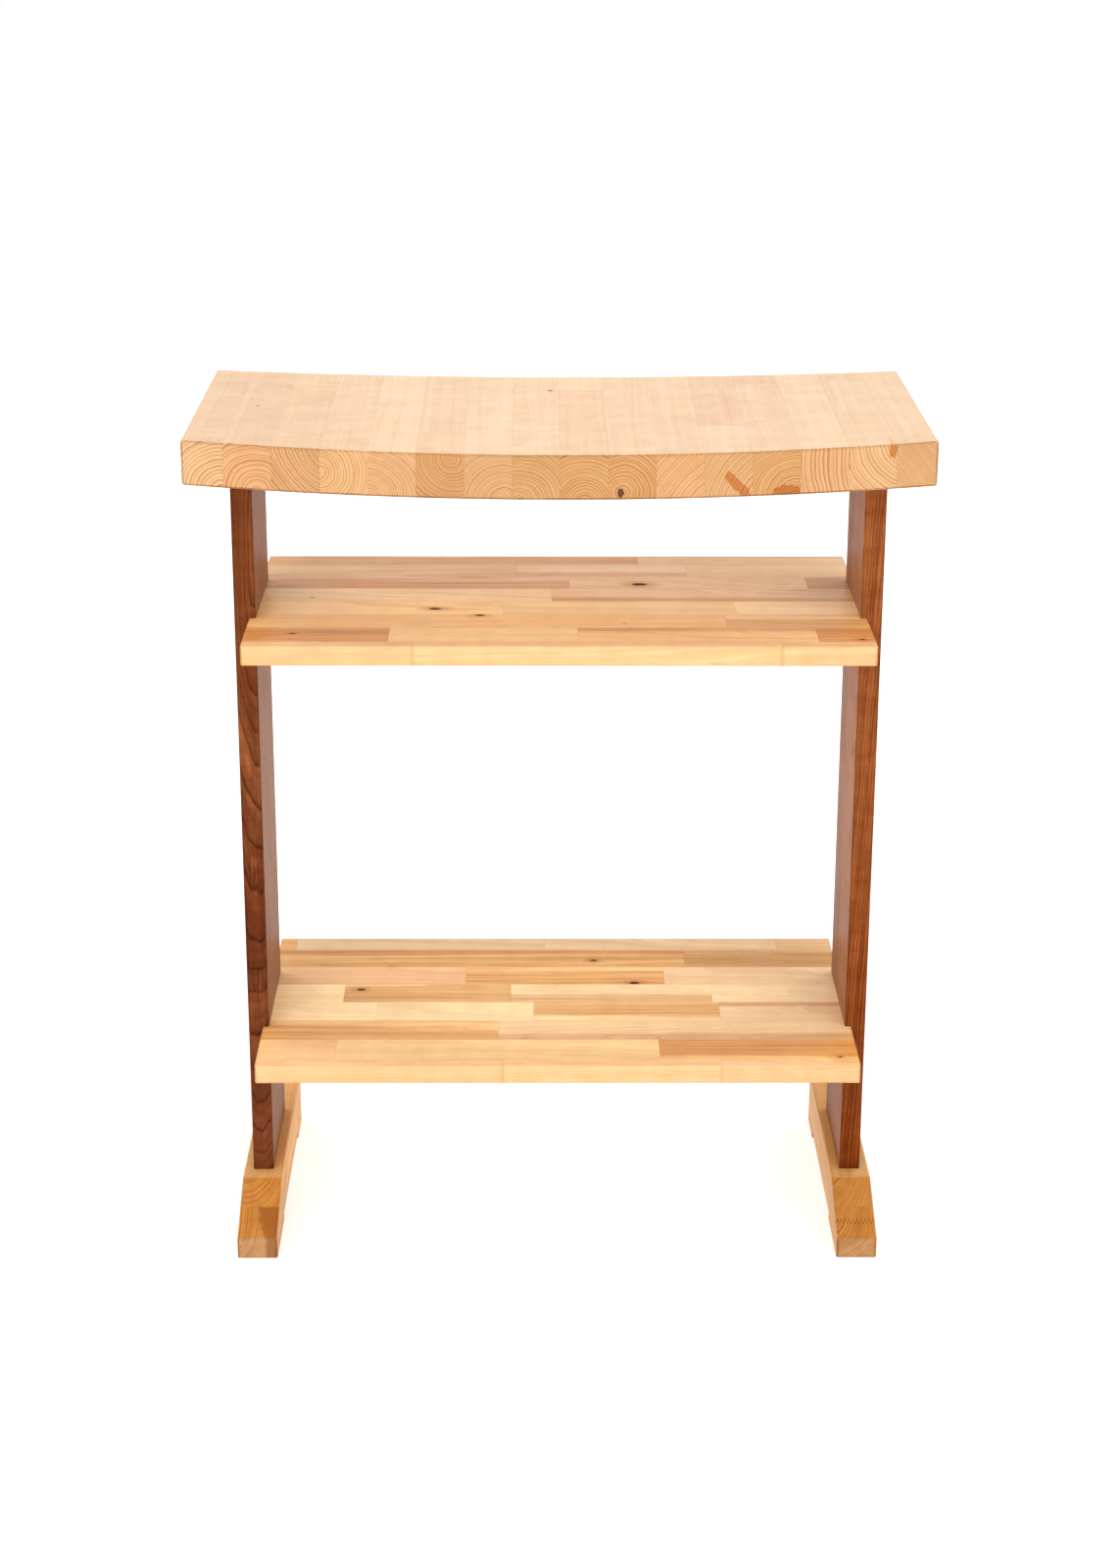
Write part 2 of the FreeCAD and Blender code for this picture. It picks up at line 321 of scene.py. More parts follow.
    @staticmethod
    def _heartwood() -> bpy.types.NodeTree:
        """Where a board is brown heartwood: a share of its width from one side, and streaks."""
        tree, g, given, leave = new_group(
            "heartwood",
            {"Place": "vector", "Half": "vector", "Seed": "vector", "Share": "value", "Streaks": "value"},
            {"Heart": "value", "Dark Lines": "value"},
        )
        _, across, _ = g.split(given["Place"])
        _, half, _ = g.split(given["Half"])
        side = g.math("SIGN", given["Share"])
        share = g.math("ABSOLUTE", given["Share"])
        wavy_place = g.stretched(given["Place"], (0.0045, 0.03, 0.03), given["Seed"])
        wavy = g.math("MULTIPLY", g.math("SUBTRACT", g.noise(wavy_place, 3.0, 0.55), 0.5), 1.5)
        over = g.math("MULTIPLY", g.math("DIVIDE", across, half), side)
        reach = g.math("SUBTRACT", g.math("MULTIPLY", share, 2.0), 1.0)
        inside = g.remap(g.math("SUBTRACT", reach, g.math("ADD", over, g.math("MULTIPLY", wavy, share))),
                         -0.12, 0.16, smooth=True)
        inside = g.math("MULTIPLY", inside, g.remap(share, 0.01, 0.03))
        broad_place = g.stretched(given["Place"], (0.0030, 0.10, 0.10), given["Seed"])
        streak = g.remap(g.noise(broad_place, 3.0, 0.6), 0.42, 0.64, smooth=True)
        streak = g.math("MULTIPLY", streak, given["Streaks"])
        heart = g.math("MAXIMUM", g.math("MULTIPLY", inside, g.remap(streak, 0.0, 0.6, 0.72, 1.0)), streak)
        thin_place = g.stretched(given["Place"], (0.0034, 0.55, 0.55), given["Seed"])
        thin = g.remap(g.noise(thin_place, 3.0, 0.62), 0.55, 0.66)
        g.feed(leave.inputs["Heart"], heart)
        g.feed(leave.inputs["Dark Lines"], g.math("MULTIPLY", thin, g.remap(heart, 0.05, 0.7, 0.0, 1.0)))
        return tree

    @staticmethod
    def _knots() -> bpy.types.NodeTree:
        """A knot through the board: its core, its halo, and the place with the grain bent round it."""
        tree, g, given, leave = new_group(
            "knots",
            {"Place": "vector", "Knot": "vector"},
            {"Core": "value", "Halo": "value", "Bent Place": "vector"},
        )
        along, across, deep = g.split(given["Place"])
        knot_along, knot_across, radius = g.split(given["Knot"])
        rough = g.noise(g.vector("SCALE", given["Place"], scale=0.35), 3.0, 0.6, colour=True)
        rough = g.vector("SCALE", g.vector("SUBTRACT", rough, (0.5, 0.5, 0.5)), scale=2.4)
        rough_along, rough_across, _ = g.split(rough)
        dx = g.math("ADD", g.math("SUBTRACT", along, knot_along), rough_along)
        dy = g.math("ADD", g.math("SUBTRACT", across, knot_across), rough_across)
        distance = g.vector("LENGTH", g.join(g.math("MULTIPLY", dx, 0.62), dy, 0.0))
        real = g.remap(radius, 0.05, 0.2)
        share = g.math("DIVIDE", distance, g.math("MAXIMUM", radius, 0.1))
        core = g.math("MULTIPLY", g.remap(share, 0.7, 1.05, 1.0, 0.0, smooth=True), real)
        halo = g.math("MULTIPLY", g.remap(share, 0.8, 3.4, 1.0, 0.0, smooth=True), real)
        wide = g.math("MULTIPLY", radius, 2.2)
        square = g.math("POWER", wide, 2.0)
        reach = g.vector("LENGTH", g.join(g.math("MULTIPLY", dx, 0.3), dy, 0.0))
        soft_square = g.math("MAXIMUM", square, 0.01)
        spread = g.math("DIVIDE", square, g.math("ADD", g.math("POWER", reach, 2.0), soft_square))
        push = g.math("MULTIPLY", g.math("MULTIPLY", dy, spread), real)
        g.feed(leave.inputs["Core"], core)
        g.feed(leave.inputs["Halo"], halo)
        g.feed(leave.inputs["Bent Place"], g.join(along, g.math("SUBTRACT", across, push), deep))
        return tree

    @staticmethod
    def _stain() -> bpy.types.NodeTree:
        """A patch of dark heartwood with a ragged edge."""
        tree, g, given, leave = new_group(
            "stain",
            {"Place": "vector", "Centre": "vector", "Size": "vector", "Turn": "vector", "Seed": "vector",
             "Ragged": "value"},
            {"Patch": "value"},
        )
        real = g.remap(g.vector("LENGTH", given["Size"]), 0.5, 1.0)
        size = g.vector("MAXIMUM", given["Size"], (0.5, 0.5, 0.5))
        turned = g.node("VectorRotate", rotation_type="EULER_XYZ")
        g.feed(turned.inputs["Vector"], g.vector("SUBTRACT", given["Place"], given["Centre"]))
        g.feed(turned.inputs["Rotation"], given["Turn"])
        local = g.vector("DIVIDE", turned.outputs[0], size)
        ragged_place = g.stretched(given["Place"], (0.05, 0.3, 0.3), given["Seed"])
        ragged = g.math("MULTIPLY", g.math("SUBTRACT", g.noise(ragged_place, 4.0, 0.65), 0.5),
                        given["Ragged"])
        reach = g.math("ADD", g.vector("LENGTH", local), ragged)
        patch = g.remap(reach, 0.92, 1.04, 1.0, 0.0, smooth=True)
        g.feed(leave.inputs["Patch"], g.math("MULTIPLY", patch, real))
        return tree

    @staticmethod
    def _glue() -> bpy.types.NodeTree:
        """A thin line where a board meets its neighbour, on the faces that cross the joint."""
        tree, g, given, leave = new_group(
            "glue_lines",
            {"Place": "vector", "Half": "vector", "Facing": "vector", "Width": "value", "Fingers": "vector"},
            {"Line": "value"},
        )
        room = g.vector("SUBTRACT", given["Half"], g.vector("ABSOLUTE", given["Place"]))
        end_room, side_room, _ = g.split(room)
        end_facing, side_facing, _ = g.split(given["Facing"])
        side = g.remap(side_room, 0.0, given["Width"], 1.0, 0.0)
        side = g.math("MULTIPLY", side, g.remap(side_facing, 0.3, 0.6, 1.0, 0.0))
        end = g.remap(end_room, 0.0, given["Width"], 1.0, 0.0)
        end = g.math("MULTIPLY", end, g.remap(end_facing, 0.3, 0.6, 1.0, 0.0))
        along, _, deep = g.split(given["Place"])
        setback, depth, pitch = g.split(given["Fingers"])
        half_pitch = g.math("MAXIMUM", g.math("MULTIPLY", pitch, 0.5), 0.1)
        zigzag = g.math("DIVIDE", g.math("PINGPONG", deep, half_pitch), half_pitch)
        zigzag = g.math("ADD", g.math("MULTIPLY", zigzag, depth), setback)
        tooth = g.math("ABSOLUTE", g.math("SUBTRACT", end_room, zigzag))
        tooth = g.remap(tooth, 0.3, g.math("MULTIPLY", depth, 0.26), 1.0, 0.0)
        tooth = g.math("MULTIPLY", tooth, g.remap(side_facing, 0.6, 0.8))
        tooth = g.math("MULTIPLY", tooth, g.remap(depth, 0.5, 1.0))
        tooth = g.math("MULTIPLY", tooth, g.math("LESS_THAN", g.math("MULTIPLY", along, setback), 0.001))
        line = g.math("MAXIMUM", side, end)
        g.feed(leave.inputs["Line"], g.math("MAXIMUM", line, tooth))
        return tree

    @staticmethod
    def _handling() -> bpy.types.NodeTree:
        """Soft smudges and a fine unevenness of the oiled surface."""
        tree, g, given, leave = new_group(
            "handling", {"Place": "vector", "Seed": "vector"}, {"Smudge": "value", "Grit": "value"})
        broad = g.vector("ADD", g.vector("SCALE", given["Place"], scale=0.012), given["Seed"])
        fine = g.vector("ADD", g.vector("SCALE", given["Place"], scale=0.45), given["Seed"])
        g.feed(leave.inputs["Smudge"], g.noise(broad, 4.0, 0.6))
        g.feed(leave.inputs["Grit"], g.noise(fine, 2.0, 0.5))
        return tree

    @staticmethod
    def _wear() -> bpy.types.NodeTree:
        """Burnished patches and painted shade along the eased edges, stronger in some places than in others;
        the edges that face down come in with the most painted shade.
        """
        tree, g, given, leave = new_group(
            "edge_wear_and_shade", {"Eased": "value", "Place": "vector", "Seed": "vector"}, {"Burnish And Shade": "value"})
        patches = g.vector("ADD", g.vector("SCALE", given["Place"], scale=0.035), given["Seed"])
        amount = g.remap(g.noise(patches, 3.0, 0.6), 0.3, 0.68, 0.35, 1.0)
        g.feed(leave.inputs["Burnish And Shade"], g.math("MULTIPLY", given["Eased"], amount))
        return tree


# ---------------------------------------------------------------- finishes


@dataclass(frozen=True)
class TimberFinish:
    """An oiled timber: how its rings, fibres, pores and end grain show."""

    name: str
    slot: str
    late_wood: Colour
    heart: Colour
    dark_line: Colour
    end_grain: Colour
    square_end: Colour
    # The colour that darkens eased edges: partly burnish, partly painted shade.
    burnish_and_shade: Colour
    ring_strength: float = 0.6
    end_ring_strength: float = 1.3
    flow_strength: float = 0.06
    fibre_strength: float = 0.16
    broad_strength: float = 0.22
    pore_strength: float = 0.0
    figure_strength: float = 0.1
    wander: float = 10.0
    glue_width: float = 0.35
    glue_strength: float = 0.45
    roughness: float = 0.42
    specular: float = 0.25
    sheen: float = 0.0
    sheen_tint: Colour = (1.0, 0.68, 0.42)
    bump: float = 0.25

    def material(self, effects: Effects) -> bpy.types.Material:
        """Build the finish.

        Args:
            effects: the shared node groups.
        Returns:
            The finished material.
        """
        material, g = new_material(self.name)
        place = g.attribute("place")
        seed = g.attribute("seed")
        facing = g.attribute("facing")
        half = g.attribute("half_size")
        end_facing, _, deep_facing = g.split(facing)
        share, streaks, ring_trait = g.split(g.attribute("traits"))
        ragged, _, _ = g.split(g.attribute("ragged"))
        # The tint holds the board's tone and the painted light and shade along its length.
        tint = g.attribute("tint", "Color")
        knots = g.group(effects.knots, place=place, knot=g.attribute("knot"))
        bent = knots.outputs["Bent Place"]
        rings = g.group(effects.rings, place=bent, pith=g.attribute("pith"), lean=g.attribute("lean"),
                        seed=seed, wander=self.wander)
        fibres = g.group(effects.fibres, place=bent, seed=seed)
        heart = g.group(effects.heartwood, place=bent, half=half, seed=seed, share=share, streaks=streaks)
        stain = g.group(effects.stain, place=place, centre=g.attribute("stain_place"),
                        size=g.attribute("stain_size"), turn=g.attribute("stain_turn"), seed=seed,
                        ragged=ragged)
        glue = g.group(effects.glue, place=place, half=half, facing=facing, width=self.glue_width,
                       fingers=g.attribute("fingers"))
        handling = g.group(effects.handling, place=place, seed=seed)
        wear = g.group(effects.wear, eased=g.attribute("eased", "Fac"), place=place, seed=seed)

        def darken(amount: object, base: object, by: object) -> Socket:
            """Multiply the base colour by a colour, as far as amount says."""
            return g.mix(amount, base, g.mix(1.0, base, by, "MULTIPLY"))

        def swing(value: Socket, strength: float, up: float) -> Socket:
            """A factor about one that follows a noise."""
            return g.remap(value, 0.3, 0.7, 1.0 - strength, 1.0 + strength * up)

        end = g.remap(end_facing, 0.2, 0.4, smooth=True)
        square = g.remap(end_facing, 0.6, 0.9)
        end_shade = g.mix(square, self.end_grain, self.square_end)
        end_shade = g.mix(1.0, end_shade, g.attribute("end_light"), "MULTIPLY")
        colour = darken(end, tint, end_shade)
        broad = swing(fibres.outputs["Broad"], self.broad_strength, 0.5)
        band = swing(rings.outputs["Band"], self.broad_strength, 0.5)
        figure = swing(fibres.outputs["Figure"], self.figure_strength, 1.0)
        fine = swing(fibres.outputs["Fine"], self.fibre_strength, 0.6)
        flow = swing(rings.outputs["Flow"], self.flow_strength, 0.6)
        light = g.math("MULTIPLY", g.math("MULTIPLY", broad, band), g.math("MULTIPLY", figure, fine))
        light = g.math("MULTIPLY", light, flow)
        colour = g.mix(1.0, colour, g.join(light, g.math("POWER", light, 1.35), g.math("POWER", light, 1.9)),
                       "MULTIPLY")
        colour = darken(heart.outputs["Heart"], colour, self.heart)
        colour = darken(heart.outputs["Dark Lines"], colour, self.dark_line)

        strength = g.remap(end, 0.0, 1.0, self.ring_strength, self.end_ring_strength)
        strength = g.math("MULTIPLY", strength, ring_trait)
        ring = g.math("MULTIPLY", rings.outputs["Ring"], strength)
        colour = darken(ring, colour, self.late_wood)
        pores = g.math("MULTIPLY", fibres.outputs["Pores"], self.pore_strength)
        colour = darken(pores, colour, PORE_BROWN)
        patch = g.math("MULTIPLY", stain.outputs["Patch"], g.remap(deep_facing, 0.6, 0.9, 1.0, 0.4))
        patch = g.math("MULTIPLY", patch, g.remap(fibres.outputs["Fine"], 0.3, 0.6, 0.72, 1.0))
        colour = darken(patch, colour, g.attribute("stain_colour"))
        colour = darken(g.math("MULTIPLY", knots.outputs["Halo"], 0.7), colour, HALO_BROWN)
        colour = g.mix(knots.outputs["Core"], colour, KNOT_BROWN)
        # Eased edges are darkened, partly as burnish and partly as painted shade, most on the edges that
        # face down.
        colour = darken(wear.outputs["Burnish And Shade"], colour, self.burnish_and_shade)
        line = g.math("MULTIPLY", glue.outputs["Line"], self.glue_strength)
        colour = darken(line, colour, GLUE_BROWN)

        smudge = g.remap(handling.outputs["Smudge"], 0.3, 0.7, -0.05, 0.05)
        dull = g.math("MULTIPLY", end, 0.08)
        rough = g.math("ADD", g.math("ADD", smudge, dull), self.roughness)
        rough = g.math("ADD", rough, g.math("MULTIPLY", rings.outputs["Ring"], 0.05))
        rough = g.math("SUBTRACT", rough, g.math("MULTIPLY", wear.outputs["Burnish And Shade"], 0.06))
        rough = g.math("ADD", rough, g.math("MULTIPLY", knots.outputs["Core"], 0.4))
        relief = g.math("MULTIPLY", fibres.outputs["Fine"], 0.5)
        relief = g.math("ADD", relief, g.math("MULTIPLY", handling.outputs["Grit"], 0.4))
        relief = g.math("SUBTRACT", relief, g.math("MULTIPLY", rings.outputs["Ring"], 0.35))
        relief = g.math("SUBTRACT", relief, g.math("MULTIPLY", pores, 1.2))
        relief = g.math("SUBTRACT", relief, knots.outputs["Core"])
        relief = g.math("SUBTRACT", relief, g.math("MULTIPLY", line, 1.6))
        bump = g.node("Bump")
        bump.inputs["Strength"].default_value = self.bump
        bump.inputs["Distance"].default_value = RELIEF_DEPTH
        g.feed(bump.inputs["Height"], relief)

        shader = g.node("BsdfPrincipled")
        g.feed(shader.inputs["Base Color"], colour)
        g.feed(shader.inputs["Roughness"], rough)
        g.feed(shader.inputs["Normal"], bump.outputs["Normal"])
        shader.inputs["Specular IOR Level"].default_value = self.specular
        shader.inputs["Sheen Weight"].default_value = self.sheen
        shader.inputs["Sheen Tint"].default_value = opaque(self.sheen_tint)
        g.surface(shader)
        return material


@dataclass(frozen=True)
class SteelFinish:
    """Bright zinc plating with a faint mottle."""

    name: str = "zinc_plated_steel"
    cool: Colour = (0.56, 0.57, 0.60)
    warm: Colour = (0.72, 0.72, 0.70)

    def material(self, effects: Effects) -> bpy.types.Material:
        """Build the finish; effects gives the shared unevenness."""
        material, g = new_material(self.name)
        place = g.vector("SCALE", g.node("TexCoord").outputs["Object"], scale=1.0 / MM)
        handling = g.group(effects.handling, place=g.vector("SCALE", place, scale=6.0), seed=(3.0, 1.0, 7.0))
        tone = g.remap(handling.outputs["Smudge"], 0.3, 0.7)
        shader = g.node("BsdfPrincipled")
        g.feed(shader.inputs["Base Color"], g.mix(tone, self.cool, self.warm))
        g.feed(shader.inputs["Roughness"], g.remap(handling.outputs["Grit"], 0.3, 0.7, 0.26, 0.42))
        shader.inputs["Metallic"].default_value = 1.0
        g.surface(shader)
        return material


@dataclass(frozen=True)
class DowelFinish:
    """Turned beech, bare, with fine flecks along its length."""

    name: str = "bare_beech"
    fleck: Colour = (0.52, 0.36, 0.21)
    ground: Colour = (0.72, 0.54, 0.35)

    def material(self, effects: Effects) -> bpy.types.Material:
        """Build the finish; effects gives the shared fibres."""
        material, g = new_material(self.name)
        x, y, z = g.split(g.vector("SCALE", g.node("TexCoord").outputs["Object"], scale=1.0 / MM))
        fibres = g.group(effects.fibres, place=g.join(z, x, y), seed=(2.0, 5.0, 1.0))
        shader = g.node("BsdfPrincipled")
        fleck = g.remap(fibres.outputs["Fine"], 0.35, 0.7)
        g.feed(shader.inputs["Base Color"], g.mix(fleck, self.fleck, self.ground))
        g.feed(shader.inputs["Roughness"], g.remap(fibres.outputs["Broad"], 0.3, 0.7, 0.6, 0.75))
        g.surface(shader)
        return material


TOP_MAPLE = TimberFinish(
    name="oiled_maple_top",
    slot="top_maple",
    late_wood=(0.64, 0.42, 0.24),
    heart=(0.74, 0.54, 0.36),
    dark_line=(0.70, 0.50, 0.34),
    end_grain=(0.795, 0.662, 0.472),
    square_end=(0.795, 0.662, 0.472),
    burnish_and_shade=(0.50, 0.31, 0.19),
    ring_strength=0.12,
    end_ring_strength=2.0,
    flow_strength=0.012,
    fibre_strength=0.035,
    broad_strength=0.03,
    pore_strength=0.12,
    figure_strength=0.05,
    wander=9.0,
    glue_width=0.3,
    glue_strength=0.35,
    roughness=0.46,
)
SHELF_BIRCH = TimberFinish(
    name="lacquered_birch_shelf",
    slot="shelf_birch",
    late_wood=(0.76, 0.56, 0.36),
    heart=(0.76, 0.58, 0.42),
    dark_line=(0.62, 0.45, 0.32),
    end_grain=(0.86, 0.70, 0.50),
    square_end=(0.86, 0.70, 0.50),
    burnish_and_shade=(0.85, 0.74, 0.60),
    ring_strength=0.30,
    end_ring_strength=0.9,
    flow_strength=0.045,
    fibre_strength=0.08,
    broad_strength=0.05,
    pore_strength=0.12,
    figure_strength=0.04,
    wander=16.0,
    glue_strength=0.4,
    roughness=0.40,
    specular=0.18,
)
WALNUT = TimberFinish(
    name="oiled_walnut_panel",
    slot="panel_walnut",
    late_wood=(0.46, 0.34, 0.28),
    heart=(0.62, 0.50, 0.42),
    dark_line=(0.50, 0.38, 0.32),
    end_grain=(0.62, 0.52, 0.46),
    square_end=(0.62, 0.52, 0.46),
    burnish_and_shade=(0.62, 0.52, 0.45),
    ring_strength=0.7,
    end_ring_strength=0.8,
    flow_strength=0.16,
    fibre_strength=0.30,
    broad_strength=0.20,
    pore_strength=0.9,
    figure_strength=0.18,
    wander=22.0,
    glue_strength=0.5,
    roughness=0.45,
    specular=0.04,
    sheen=0.21,
    bump=0.35,
)
FOOT_MAPLE = TimberFinish(
    name="oiled_maple_foot",
    slot="foot_maple",
    late_wood=(0.70, 0.50, 0.30),
    heart=(0.62, 0.40, 0.22),
    dark_line=(0.66, 0.46, 0.30),
    end_grain=(0.82, 0.63, 0.37),
    square_end=(0.75, 0.75, 0.90),
    burnish_and_shade=(0.55, 0.36, 0.22),
    ring_strength=0.25,
    end_ring_strength=1.25,
    flow_strength=0.05,
    fibre_strength=0.10,
    broad_strength=0.08,
    pore_strength=0.12,
    figure_strength=0.05,
    wander=12.0,
    glue_strength=0.75,
    specular=0.07,
)


# ---------------------------------------------------------------- boards


class Grain(Enum):
    """Which frame axes run along, across and through a board."""

    STAVE = (1, 0, 2)
    STRIP = (0, 1, 2)
    UPRIGHT = (2, 1, 0)
    FOOT = (1, 2, 0)


class Tone(Enum):
    """The timbers in the table, as the linear colour of their sapwood."""

    CREAM = (0.870, 0.640, 0.355)
    BLOND = (0.870, 0.620, 0.300)
    STRAW = (0.830, 0.503, 0.242)
    HONEY = (0.850, 0.545, 0.225)
    APRICOT = (0.870, 0.580, 0.268)
    AMBER = (0.850, 0.490, 0.175)
    FAWN = (0.760, 0.520, 0.290)
    MILK = (0.770, 0.545, 0.345)
    PALE = (0.755, 0.520, 0.325)
    PEACH = (0.735, 0.495, 0.305)
    ROSE = (0.715, 0.470, 0.295)
    OILED = (0.655, 0.365, 0.135)
    WALNUT = (0.215, 0.062, 0.019)
    RED_WALNUT = (0.320, 0.092, 0.022)


@dataclass(frozen=True)
class Timber:
    """What one length of timber shows. Places and sizes on it are in millimetres.

    Places are measured from the board's middle, along, across and through it.
    """

    tone: Tone
    pith: tuple[float, float] = (8.0, -60.0)
    spacing: float = 2.6
    lean: Triple = (0.0, 0.0, 0.0)
    rings: float = 1.0
    heart: float = 0.0
    streaks: float = 0.0
    knot: Triple = (0.0, 0.0, 0.0)
    stain_place: Triple = (0.0, 0.0, 0.0)
    stain_size: Triple = (0.0, 0.0, 0.0)
    stain_turn: Triple = (0.0, 0.0, 0.0)
    stain_colour: Colour = (0.77, 0.44, 0.16)
    fingers: Triple = (0.0, 0.0, 0.0)
    ragged: float = 1.5
    lighter: float = 1.0
    # Painted light and shade along the board, per colour channel: a share of the tone added towards one end
    # and taken off towards the other.
    fade: Triple = (0.0, 0.0, 0.0)
    end_light: Colour = WHITE


@dataclass(frozen=True)
class Length:
    """One length of a row: where it ends, as a share of the row, and its timber."""

    to: float
    timber: Timber


Box = tuple[Vector, Vector]
Shape = Callable[[Vector], Vector]


@dataclass
class Board:
    """A length of timber as a mesh with eased edges and the attributes that its finish reads."""

    name: str
    nodes: Sequence[str]
    grain: Grain
    timber: Timber
    finish: bpy.types.Material
    slot: str
    easing: float
    box: Box
    cell: Triple = (0.02, 0.02, 0.02)
    worked: Callable[[bmesh.types.BMFace], bool] = lambda face: True
    shape: Shape = lambda point: point
    wear: float = 0.12
    outline: Sequence[tuple[float, float]] = ()
    outline_axis: int = 0
    easing_steps: int = 3
    cuts: Sequence[tuple[str, bpy.types.Mesh]] = ()

    def _blank(self) -> bmesh.types.BMesh:
        """The sharp-edged blank: a box, or the outline drawn out along one axis."""
        bm = bmesh.new()
        low, high = self.box
        if not self.outline:
            bmesh.ops.create_cube(bm, size=1.0)
            size = high - low
            bmesh.ops.scale(bm, vec=size, verts=bm.verts)
            bmesh.ops.translate(bm, vec=(low + high) / 2, verts=bm.verts)
            return bm
        axis = self.outline_axis
        others = [index for index in range(3) if index != axis]
        corners = []
        for first, second in self.outline:
            point = Vector((0.0, 0.0, 0.0))
            point[axis] = low[axis]
            point[others[0]] = first
            point[others[1]] = second
            corners.append(bm.verts.new(point))
        face = bm.faces.new(corners)
        drawn = bmesh.ops.extrude_face_region(bm, geom=[face])
        shift = Vector((0.0, 0.0, 0.0))
        shift[axis] = high[axis] - low[axis]
        moved = [item for item in drawn["geom"] if isinstance(item, bmesh.types.BMVert)]
        bmesh.ops.translate(bm, vec=shift, verts=moved)
        bmesh.ops.recalc_face_normals(bm, faces=bm.faces)
        return bm

    def _ease(self, bm: bmesh.types.BMesh) -> None:
        """Round the edges between faces that a hand can reach, and mark the rounded faces."""
        bm.faces.ensure_lookup_table()
        bm.normal_update()
        chosen = []
        for edge in bm.edges:
            if len(edge.link_faces) != 2 or not all(self.worked(face) for face in edge.link_faces):
                continue
            if edge.is_convex and edge.calc_face_angle() > EASED_ANGLE:
                chosen.append(edge)
        layer = bm.faces.layers.float.new("eased")
        if chosen:
            made = bmesh.ops.bevel(bm, geom=chosen, offset=self.easing, segments=self.easing_steps,
                                   profile=0.5, affect="EDGES", clamp_overlap=True)
            for face in made["faces"]:
                face[layer] = 1.0

    def _divide(self, bm: bmesh.types.BMesh) -> None:
        """Cut the blank into cells, so that it can follow a curve and take wear."""
        low, high = self.box
        for axis in range(3):
            count = int(round((high[axis] - low[axis]) / self.cell[axis]))
            normal = Vector((0.0, 0.0, 0.0))
            normal[axis] = 1.0
            for index in range(1, count):
                place = Vector(low)
                place[axis] = low[axis] + (high[axis] - low[axis]) * index / count
                geometry = bm.verts[:] + bm.edges[:] + bm.faces[:]
                bmesh.ops.bisect_plane(bm, geom=geometry, plane_co=place, plane_no=normal)

    def _wear(self, bm: bmesh.types.BMesh) -> None:
        """Rub the eased edges back a little more in some places than in others."""
        layer = bm.faces.layers.float["eased"]
        bm.normal_update()
        low, high = self.box
        moves = {}
        for vert in bm.verts:
            faces = vert.link_faces
            share = sum(face[layer] for face in faces) / max(len(faces), 1)
            if share < 0.6:
                continue
            rub = 0.5 + 0.5 * noise.noise(vert.co * 45.0) + 0.25 * noise.noise(vert.co * 170.0)
            step = vert.normal * (-self.wear * self.easing * max(rub, 0.0) * share)
            for axis in range(3):
                if min(abs(vert.co[axis] - low[axis]), abs(vert.co[axis] - high[axis])) < 1e-6:
                    step[axis] = 0.0
            moves[vert] = step
        for vert, step in moves.items():
            vert.co += step

    def build(self) -> bpy.types.Object:
        """Make the piece, hide the CAD node that it stands for, and let it ride on the table."""
        bm = self._blank()
        self._ease(bm)
        self._divide(bm)
        self._wear(bm)
        flat = None if self.cuts else [vert.co.copy() for vert in bm.verts]
        for vert in bm.verts:
            vert.co = self.shape(vert.co)
        bm.normal_update()
        mesh = bpy.data.meshes.new(self.name)
        bm.to_mesh(mesh)
        bm.free()
        if self.cuts:
            mesh = carve(mesh, self.cuts)
            mesh.name = self.name
        return self.dress(mesh, flat or [vert.co for vert in mesh.vertices])

    def dress(self, mesh: bpy.types.Mesh, flat: Sequence[Vector]) -> bpy.types.Object:
        """Turn a mesh into the finished piece.

        Args:
            mesh: the board's mesh, with its rounded faces marked in the attribute "eased".
            flat: where each point lay before the board was curved.
        Returns:
            The piece, which rides on the table.
        """
        self.write_attributes(mesh, flat)
        mesh.shade_smooth()
        mesh.set_sharp_from_angle(angle=SHARP_ANGLE)
        mesh.materials.append(self.finish)
        piece = bpy.data.objects.new(self.name, mesh)
        bpy.context.scene.collection.objects.link(piece)
        even = piece.modifiers.new("flat_faces", "WEIGHTED_NORMAL")
        even.keep_sharp = True
        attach(piece, BODY)
        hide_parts(*self.nodes)
        log.info("%s: %d faces", self.name, len(mesh.polygons))
        return piece

    def write_attributes(self, mesh: bpy.types.Mesh, flat: Sequence[Vector]) -> None:
        """Write what the finish reads: each point's place on the board and its tint, which holds the board's
        tone with painted light and shade along its length, and the board's traits.
        """
        order = self.grain.value
        low, high = self.box
        middle = (low + high) / 2
        half = (high - low) / 2
        timber = self.timber
        draw = random.Random(self.name)
        seed = [draw.uniform(0.0, 60.0) for _ in range(3)]
        lift = timber.lighter * draw.uniform(0.985, 1.015)
        tint = [channel * lift for channel in timber.tone.value]
        places = []
        tints = []
        for point in flat:
            offset = point - middle
            places += [offset[axis] / MM for axis in order]
            # The ramp makes the tint lighter towards one end of the board and darker towards the other. This
            # is painted light and shade, and the upright walnut boards use it to be lighter at the top.
            share = offset[order[0]] / half[order[0]]
            tints += [channel * (1.0 + fade * share) for channel, fade in zip(tint, timber.fade)]
            tints.append(1.0)
        write(mesh, "place", "FLOAT_VECTOR", "POINT", places)
        write(mesh, "tint", "FLOAT_COLOR", "POINT", tints)
        facing = []
        eased = []
        for polygon, mark in zip(mesh.polygons, mesh.attributes["eased"].data):
            facing += [abs(polygon.normal[axis]) for axis in order]
